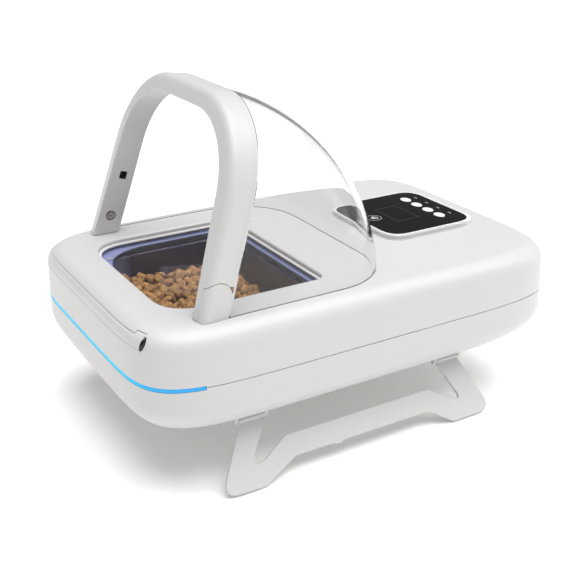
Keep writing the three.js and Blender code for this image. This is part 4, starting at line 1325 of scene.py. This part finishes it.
# ---------------------------------------------------------------- panel
class FEEDER_OT_panel(Operator):
    """Clear block, black face, display frame, marks and buttons"""

    bl_idname = "feeder.panel"
    bl_label = "Control panel"

    def execute(self, context):
        low, high = PANEL_BOX
        edge = 1.3 * MM
        levels = [(low.z, 0.3 * MM), (low.z + 0.3 * MM, 0.0)]
        levels += [
            (high.z - edge * (1 - math.sin(q)), edge * (1 - math.cos(q)))
            for q in (math.pi / 2 * i / 6 for i in range(7))
        ]
        block = loft("clear_block", [[(p.x, p.y, z) for p in panel_line(inset)] for z, inset in levels])
        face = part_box("panel_face")
        combine(block, raised("pocket", panel_line(3.1 * MM), face[0].z - 0.3 * MM, high.z + MM))
        combine(block, raised("hole", panel_line(7 * MM), low.z - MM, high.z + MM))
        finish(shade(block, 40), "base", "clear", block_clear(), "panel_block")
        # Painted light: a white backing inside the block's hole, so that the clear block's sides show bright.
        light_backing = raised("panel_light_backing", panel_line(7.06 * MM), low.z + 0.1 * MM, face[0].z - 0.35 * MM)
        combine(light_backing, raised("hole", panel_line(7.8 * MM), low.z - MM, high.z + MM))
        finish(shade(light_backing, 40), "base", "shell_white", shell_white())
        black = raised("black_face", panel_line(3.35 * MM), face[0].z, face[1].z)
        for i in range(1, 5):
            spot = middle(f"button_{i}")
            long_half, short_half = self.cap_size(i)
            hole = oval(spot, long_half + 0.25 * MM, short_half + 0.25 * MM)
            combine(black, raised("cap_hole", hole, face[0].z - MM, face[1].z + MM))
        finish(shade(soften(black, 0.15 * MM, 2)), "base", "black_gloss", piano_black(), "panel_face")
        for i in range(1, 5):
            self.make_button(i, face[1].z)
        self.make_marks(face[1].z)
        return {"FINISHED"}

    @staticmethod
    def cap_size(number):
        """Half the length and half the width of a button's cap, inside the flange under the face."""
        low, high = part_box(f"button_{number}")
        return (high.x - low.x) / 2 - MM, (high.y - low.y) / 2 - MM

    def make_button(self, number, top):
        low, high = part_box(f"button_{number}")
        spot = (low + high) / 2
        long_half, short_half = self.cap_size(number)
        levels = [(low.z, 0.3), (top - 2.2 * MM, 0.3), (top - 2.1 * MM, 1.0), (high.z - 0.45 * MM, 1.0)]
        levels += [(high.z - 0.2 * MM, 0.97), (high.z - 0.06 * MM, 0.88), (high.z, 0.6)]
        lines = [(z, oval(spot, long_half * part, short_half * part)) for z, part in levels]
        made = shade(loft(f"oval_button_{number}", [[(p.x, p.y, z) for p in line] for z, line in lines]), 40)
        finish(made, f"button_{number}", "button_white", button_white(), f"button_{number}")

    def make_marks(self, top):
        """Thin printed marks: one beside each button, a plain paw, and a frame round the display."""
        low, high = top + 0.01 * MM, top + 0.05 * MM
        marks = []
        for i in range(1, 5):
            spot = middle(f"button_{i}") + Vector((0, 10.3 * MM, 0))
            for dx, wide, tall in ((-1.1 * MM, 0.45 * MM, 1.0 * MM), (0.9 * MM, 0.8 * MM, 0.8 * MM)):
                marks.append(raised("mark", oval((spot.x + dx, spot.y), wide, tall, 14), low, high))
        pale = moulded("Pale print", (0.42, 0.42, 0.43), rough=0.5, grain=0.02)
        finish(merge("printed_marks", marks), "base", "button_white", pale)
        paw = Vector((0, PANEL_BOX[0].y + 14.5 * MM))
        marks = [raised("pad", oval(paw, 2.4 * MM, 1.9 * MM, 24), low, high)]
        for toe in ((-2.9, 1.9), (-1.1, 3.3), (1.1, 3.3), (2.9, 1.9)):
            marks.append(raised("toe", oval(paw + Vector(toe) * MM, 0.75 * MM, 1.05 * MM, 16), low, high))
        centre = paw + Vector((0, 0.8 * MM))
        ring = raised("ring", circle(6.2 * MM, 64, centre), low, high)
        marks.append(combine(ring, raised("ring_hole", circle(5.7 * MM, 64, centre), top - MM, top + MM)))
        finish(merge("printed_paw", marks), "base", "button_white", pale)
        shown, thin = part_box("display"), 0.3 * MM
        line = rectangle(shown[0].x, shown[0].y, shown[1].x, shown[1].y, 0.8 * MM)
        hole = rectangle(shown[0].x + thin, shown[0].y + thin, shown[1].x - thin, shown[1].y - thin, 0.6 * MM)
        border = raised("display_frame", line, low, top + 0.03 * MM)
        combine(border, raised("frame_hole", hole, top - MM, top + MM))
        finish(border, "base", "display_dark", moulded("Display frame", (0.085, 0.085, 0.09), rough=0.3))


# ---------------------------------------------------------------- stands and underside
STAND_DROP = 46.4 * MM  # from the hinge to the foot's edge, along the stand
STAND_THICK = 3 * MM
STAND_SPLAY = math.radians(32)
PIN_END = 5.25 * MM  # how far each end of a pin stands out of the stand


def stand_corners():
    """The stand's outline as (y, height over the foot's edge, corner radius)."""
    front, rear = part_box("stand_pin_right_front"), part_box("stand_pin_right_rear")
    front_out, front_in = front[0].y + PIN_END, front[1].y - PIN_END
    rear_in, rear_out = rear[0].y + PIN_END, rear[1].y - PIN_END
    neck, bend = 43 * MM, 2 * MM
    outside = [(-126.5, 0, 9), (-93, 0, 4), (-66.5, 12.8, 5), (47.5, 12.8, 5), (66.5, 0, 4), (103, 0, 9)]
    inside = [(78, 15, 3.5), (70, 15.6, 5), (52, 28.2, 9), (-70, 28.2, 9), (-89, 16.6, 5), (-99.8, 15.6, 3.5)]
    outside, inside = ([[value * MM for value in row] for row in rows] for rows in (outside, inside))
    return [
        (front_out, STAND_DROP, 0), (front_out, neck, bend), *outside,
        (rear_out, neck, bend), (rear_out, STAND_DROP, 0), (rear_in, STAND_DROP, 0), (rear_in, neck, bend),
        *inside, (front_in, neck, bend), (front_in, STAND_DROP, 0),
    ]


def make_stand(side):
    """A flat stand with a barrel on each pin, turned out by its splay."""
    half = STAND_THICK / 2
    line = outline(stand_corners(), 7)
    made = loft("stand", [[(x, p.x, p.y - STAND_DROP) for p in line] for x in (-half, half)])
    soften(made, 0.45 * MM, 2, 60)
    nub = rectangle(-35 * MM, 11.8 * MM - STAND_DROP, -28.5 * MM, 14 * MM - STAND_DROP, 0.4 * MM, steps=3)
    inside = half - 0.2 * MM
    combine(made, loft("nub", [[(x, p.x, p.y) for p in nub] for x in (-inside, inside)]), "UNION")
    for end in ENDS:
        low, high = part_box(f"stand_pin_right_{end}")
        near, far = low.y + PIN_END, high.y - PIN_END
        barrel = loft("barrel", [[(p.x, y, p.y) for p in circle(2.4 * MM, 28)] for y in (near, far)])
        combine(made, barrel, "UNION")
        bore = loft("bore", [[(p.x, y, p.y) for p in circle(1.5 * MM, 20)] for y in (near - MM, far + MM)])
        combine(made, bore)
    hinge = Matrix.Translation((side * STAND_AXIS.x, 0, STAND_AXIS.z))
    return place(made, hinge @ Matrix.Rotation(-side * STAND_SPLAY, 4, "Y"))


class FEEDER_OT_stands(Operator):
    """The two folding stands and their pins"""

    bl_idname = "feeder.stands"
    bl_label = "Stands"

    def execute(self, context):
        for side, word in SIDES:
            made = shade(make_stand(side), 40)
            made.name = f"folding_stand_{word}"
            finish(made, f"stand_{word}", "shell_white", shell_white(), f"stand_{word}")
            for end in ENDS:
                low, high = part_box(f"stand_pin_{word}_{end}")
                spot, inset = (low + high) / 2, 1.9 * MM
                line = [spot + Vector((p.x, 0, p.y)) for p in circle((high.x - low.x) / 2, 20)]
                rings = [[(p.x, y, p.z) for p in line] for y in (low.y + inset, high.y - inset)]
                pin = shade(loft(f"hinge_pin_{word}_{end}", rings), 40)
                finish(pin, "base", "steel", zinc_steel(), f"stand_pin_{word}_{end}")
        return {"FINISHED"}


def screw_tree():
    """Puts a cross-head screw at each point, facing along the point's own direction."""
    tree, source, result, names = new_tree("Cross-head screws", [
        ("Head Radius", "NodeSocketFloat", 3.2 * MM), ("Head Height", "NodeSocketFloat", 2.4 * MM),
        ("Recess Width", "NodeSocketFloat", 0.9 * MM), ("Material", "NodeSocketMaterial", None),
    ])
    radius, height = source.outputs["Head Radius"], source.outputs["Head Height"]
    narrow = source.outputs["Recess Width"]
    head = node(tree, "GeometryNodeMeshCylinder", [("Radius", radius), ("Depth", height)], Vertices=32)
    wide = node(tree, "ShaderNodeMath", [(0, radius)], operation="MULTIPLY")
    wide.inputs[1].default_value = 1.15
    lift = node(tree, "ShaderNodeCombineXYZ", [("Z", height)])
    half = node(tree, "ShaderNodeVectorMath", [(0, lift.outputs[0])], operation="SCALE", Scale=0.55)
    cut = node(tree, "GeometryNodeMeshBoolean", operation="DIFFERENCE", solver="EXACT")
    tree.links.new(head.outputs["Mesh"], cut.inputs["Mesh 1"])
    for across_x, across_y in ((wide.outputs[0], narrow), (narrow, wide.outputs[0])):
        size = node(tree, "ShaderNodeCombineXYZ", [("X", across_x), ("Y", across_y), ("Z", height)])
        arm = node(tree, "GeometryNodeMeshCube", [("Size", size.outputs[0])])
        lifted = node(
            tree, "GeometryNodeTransform",
            [("Geometry", arm.outputs["Mesh"]), ("Translation", half.outputs[0])],
        )
        tree.links.new(lifted.outputs[0], cut.inputs["Mesh 2"])
    aim = node(tree, "GeometryNodeInputNamedAttribute", data_type="FLOAT_VECTOR", Name="aim")
    turn = node(tree, "FunctionNodeAlignRotationToVector", [("Vector", aim.outputs["Attribute"])], axis="Z")
    put = node(
        tree, "GeometryNodeInstanceOnPoints",
        [("Points", source.outputs["Geometry"]), ("Instance", cut.outputs["Mesh"]),
         ("Rotation", turn.outputs[0])],
    )
    solid = node(tree, "GeometryNodeRealizeInstances", [("Geometry", put.outputs[0])])
    paint = node(
        tree, "GeometryNodeSetMaterial",
        [("Geometry", solid.outputs[0]), ("Material", source.outputs["Material"])],
    )
    tree.links.new(paint.outputs[0], result.inputs[0])
    return tree, names


def screws(name, spots, tree, names, radius, height):
    """Screws at (place, direction) pairs, the place at the middle of the head."""
    mesh = bpy.data.meshes.new(name)
    mesh.from_pydata([tuple(spot) for spot, _ in spots], [], [])
    aims = mesh.attributes.new("aim", "FLOAT_VECTOR", "POINT")
    aims.data.foreach_set("vector", [value for _, aim in spots for value in aim])
    made = add_object(name, mesh)
    run_tree(
        made, tree, names,
        Head_Radius=radius, Head_Height=height, Recess_Width=radius * 0.3, Material=zinc_steel(),
    )
    return shade(soften(made, 0.18 * MM, 2, 60), 40)


class FEEDER_OT_screws(Operator):
    """Screws of the casing, the lid's rim and the arch"""

    bl_idname = "feeder.screws"
    bl_label = "Screws"

    def execute(self, context):
        tree, names = screw_tree()
        head = 2.4 * MM
        spots = []
        for screw in CASING_SCREWS:
            spot = middle(screw)
            spots.append((Vector((spot.x, spot.y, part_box(screw)[0].z + head / 2)), (0, 0, -1)))
        made = screws("casing_screw_heads", spots, tree, names, 3.2 * MM, head)
        finish(made, "base", "steel", zinc_steel(), *CASING_SCREWS)
        spots = [(rim_screw(side), (0, 0, 1)) for side in (-1, 1)]
        finish(screws("lid_rim_screws", spots, tree, names, 2.2 * MM, 0.9 * MM), "lid", "steel", zinc_steel())
        slope = leg_slope()
        for side, word in SIDES:
            low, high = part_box(f"pivot_screw_{word}")
            x = low.x if side > 0 else high.x
            spot = Vector((x + side * (head / 2 + 1.1 * MM), PIVOT.y, PIVOT.z))
            spots = [(spot, (-side, 0, slope))]
            made = screws(f"pivot_screw_head_{word}", spots, tree, names, 2.7 * MM, head)
            finish(made, "base", "steel", zinc_steel(), f"pivot_screw_{word}")
        return {"FINISHED"}


class FEEDER_OT_inner(Operator):
    """Finishes of the pieces that keep their own shape"""

    bl_idname = "feeder.inner"
    bl_label = "Inner pieces"

    def execute(self, context):
        board = moulded("Solder mask", (0.012, 0.11, 0.045), rough=0.35, change=0.1, grain=0.3, scale=500.0)
        coil = moulded("Coil enamel", (0.48, 0.20, 0.075), rough=0.35, scale=400.0, Metallic=0.8)
        wrap = moulded("Cell wrap", (0.05, 0.13, 0.28), rough=0.3, change=0.1)
        looks = {
            moulded("White solder mask", (0.75, 0.75, 0.73), rough=0.4): ["led_board"],
            inner_grey(): ["bowl_cradle", "lid_rail_left", "lid_rail_right", "lid_carrier"],
            moulded("Acetal", (0.70, 0.66, 0.55), rough=0.5): ["lid_pinion"],
            zinc_steel(): ["pinion_shaft", "gear_motor", *[f"button_dome_{i}" for i in range(1, 5)]],
            moulded("Gearbox moulding", (0.07, 0.075, 0.08), rough=0.55, grain=0.4, scale=700.0): ["gearbox"],
            coil: ["antenna_coil"],
            moulded("Display glass", (0.010, 0.012, 0.014), rough=0.12, grain=0.02): ["display"],
            board: ["panel_board", "main_board"],
            wrap: [f"battery_{i}" for i in range(1, 5)],
            pad_rubber(): [f"foot_pad_{word}_{end}" for _, word in SIDES for end in ENDS],
            shell_white(): ["battery_door"],
        }
        for material, names in looks.items():
            for name in names:
                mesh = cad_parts[name].data
                mesh.materials.clear()
                mesh.materials.append(material)
        return {"FINISHED"}


# ---------------------------------------------------------------- stage
class FEEDER_OT_stage(Operator):
    """Floor, lights and camera"""

    bl_idname = "feeder.stage"
    bl_label = "Stage"

    def execute(self, context):
        scene, stage = context.scene, context.scene.feeder_stage
        half = 6.0
        corners = [(-half, -half, 0), (half, -half, 0), (half, half, 0), (-half, half, 0)]
        mesh = bpy.data.meshes.new("floor")
        mesh.from_pydata(corners, [], [(0, 1, 2, 3)])
        floor = add_object("floor", mesh)
        pale = moulded("Pale floor", (0.93, 0.925, 0.915), rough=0.9, grain=0.0, Specular_IOR_Level=0.0)
        surface = pale.node_tree.nodes["Principled BSDF"]
        surface.inputs["Emission Color"].default_value = (1.0, 0.975, 0.94, 1)
        surface.inputs["Emission Strength"].default_value = stage.glow
        floor.data.materials.append(pale)
        world = bpy.data.worlds.new("studio")
        world.use_nodes = True
        backdrop = world.node_tree.nodes["Background"]
        backdrop.inputs["Color"].default_value = (1.0, 1.0, 1.0, 1)
        backdrop.inputs["Strength"].default_value = stage.fill
        scene.world = world
        target = Vector((0, 0, stage.target))
        sky = bpy.data.lights.new("overhead", "SUN")
        sky.energy = stage.overhead * math.pi
        sky.angle = stage.overhead_spread
        overhead = bpy.data.objects.new("overhead", sky)
        scene.collection.objects.link(overhead)
        overhead.rotation_euler = (math.radians(-6), math.radians(8), 0)
        self.add_light("window", (0.461, 0.739, 0.684), target, (0.20, 0.12), 0.8)
        self.add_light("rear_softbox", (0.75, 1.9, 0.55), target, (0.5, 1.1), 2.2)
        self.add_light("low_window", (-1.0, 0.36, 0.58), target, (0.10, 0.05), 0.007)
        back = Vector((
            math.sin(stage.azimuth) * math.cos(stage.elevation),
            -math.cos(stage.azimuth) * math.cos(stage.elevation),
            math.sin(stage.elevation),
        ))
        data = bpy.data.cameras.new("camera")
        data.lens = stage.lens
        data.sensor_width = 36
        data.shift_x = stage.shift_x
        data.shift_y = stage.shift_y
        camera = bpy.data.objects.new("camera", data)
        scene.collection.objects.link(camera)
        camera.location = target + back * stage.distance
        camera.rotation_euler = back.to_track_quat("Z", "Y").to_euler()
        scene.camera = camera
        scene.view_settings.view_transform = "Standard"
        return {"FINISHED"}

    @staticmethod
    def add_light(name, spot, target, size, power):
        data = bpy.data.lights.new(name, "AREA")
        data.shape = "RECTANGLE"
        data.size, data.size_y = size
        data.energy = power
        light = bpy.data.objects.new(name, data)
        bpy.context.scene.collection.objects.link(light)
        light.location = spot
        light.rotation_euler = (Vector(spot) - target).to_track_quat("Z", "Y").to_euler()


STEPS = (
    FEEDER_OT_stage, FEEDER_OT_casings, FEEDER_OT_front, FEEDER_OT_bowl, FEEDER_OT_food, FEEDER_OT_lid,
    FEEDER_OT_arch, FEEDER_OT_hood, FEEDER_OT_panel, FEEDER_OT_stands, FEEDER_OT_screws, FEEDER_OT_inner,
)
GROUPS = {
    "feeder_casing": FeederCasingSizes, "feeder_arch": FeederArchSizes, "feeder_hood": FeederHoodSizes,
    "feeder_bowl": FeederBowlSizes, "feeder_finish": FeederFinish, "feeder_stage": FeederStage,
}


class FEEDER_PT_sidebar(Panel):
    """The feeder's pieces and their sizes"""

    bl_idname = "FEEDER_PT_sidebar"
    bl_label = "Pet feeder"
    bl_space_type = "VIEW_3D"
    bl_region_type = "UI"
    bl_category = "Feeder"

    def draw(self, context):
        for step in STEPS:
            self.layout.operator(step.bl_idname)
        for name in GROUPS:
            group = getattr(context.scene, name)
            box = self.layout.box()
            for key in group.bl_rna.properties.keys():
                if key not in ("rna_type", "name"):
                    box.prop(group, key)


def register():
    for name, group in GROUPS.items():
        bpy.utils.register_class(group)
        setattr(bpy.types.Scene, name, PointerProperty(type=group))
    for made in (*STEPS, FEEDER_PT_sidebar):
        bpy.utils.register_class(made)


def unregister():
    for made in (FEEDER_PT_sidebar, *reversed(STEPS)):
        bpy.utils.unregister_class(made)
    for name, group in GROUPS.items():
        delattr(bpy.types.Scene, name)
        bpy.utils.unregister_class(group)


def main():
    register()
    for step in STEPS:
        family, name = step.bl_idname.split(".")
        getattr(getattr(bpy.ops, family), name)()


if __name__ == "__main__":
    main()
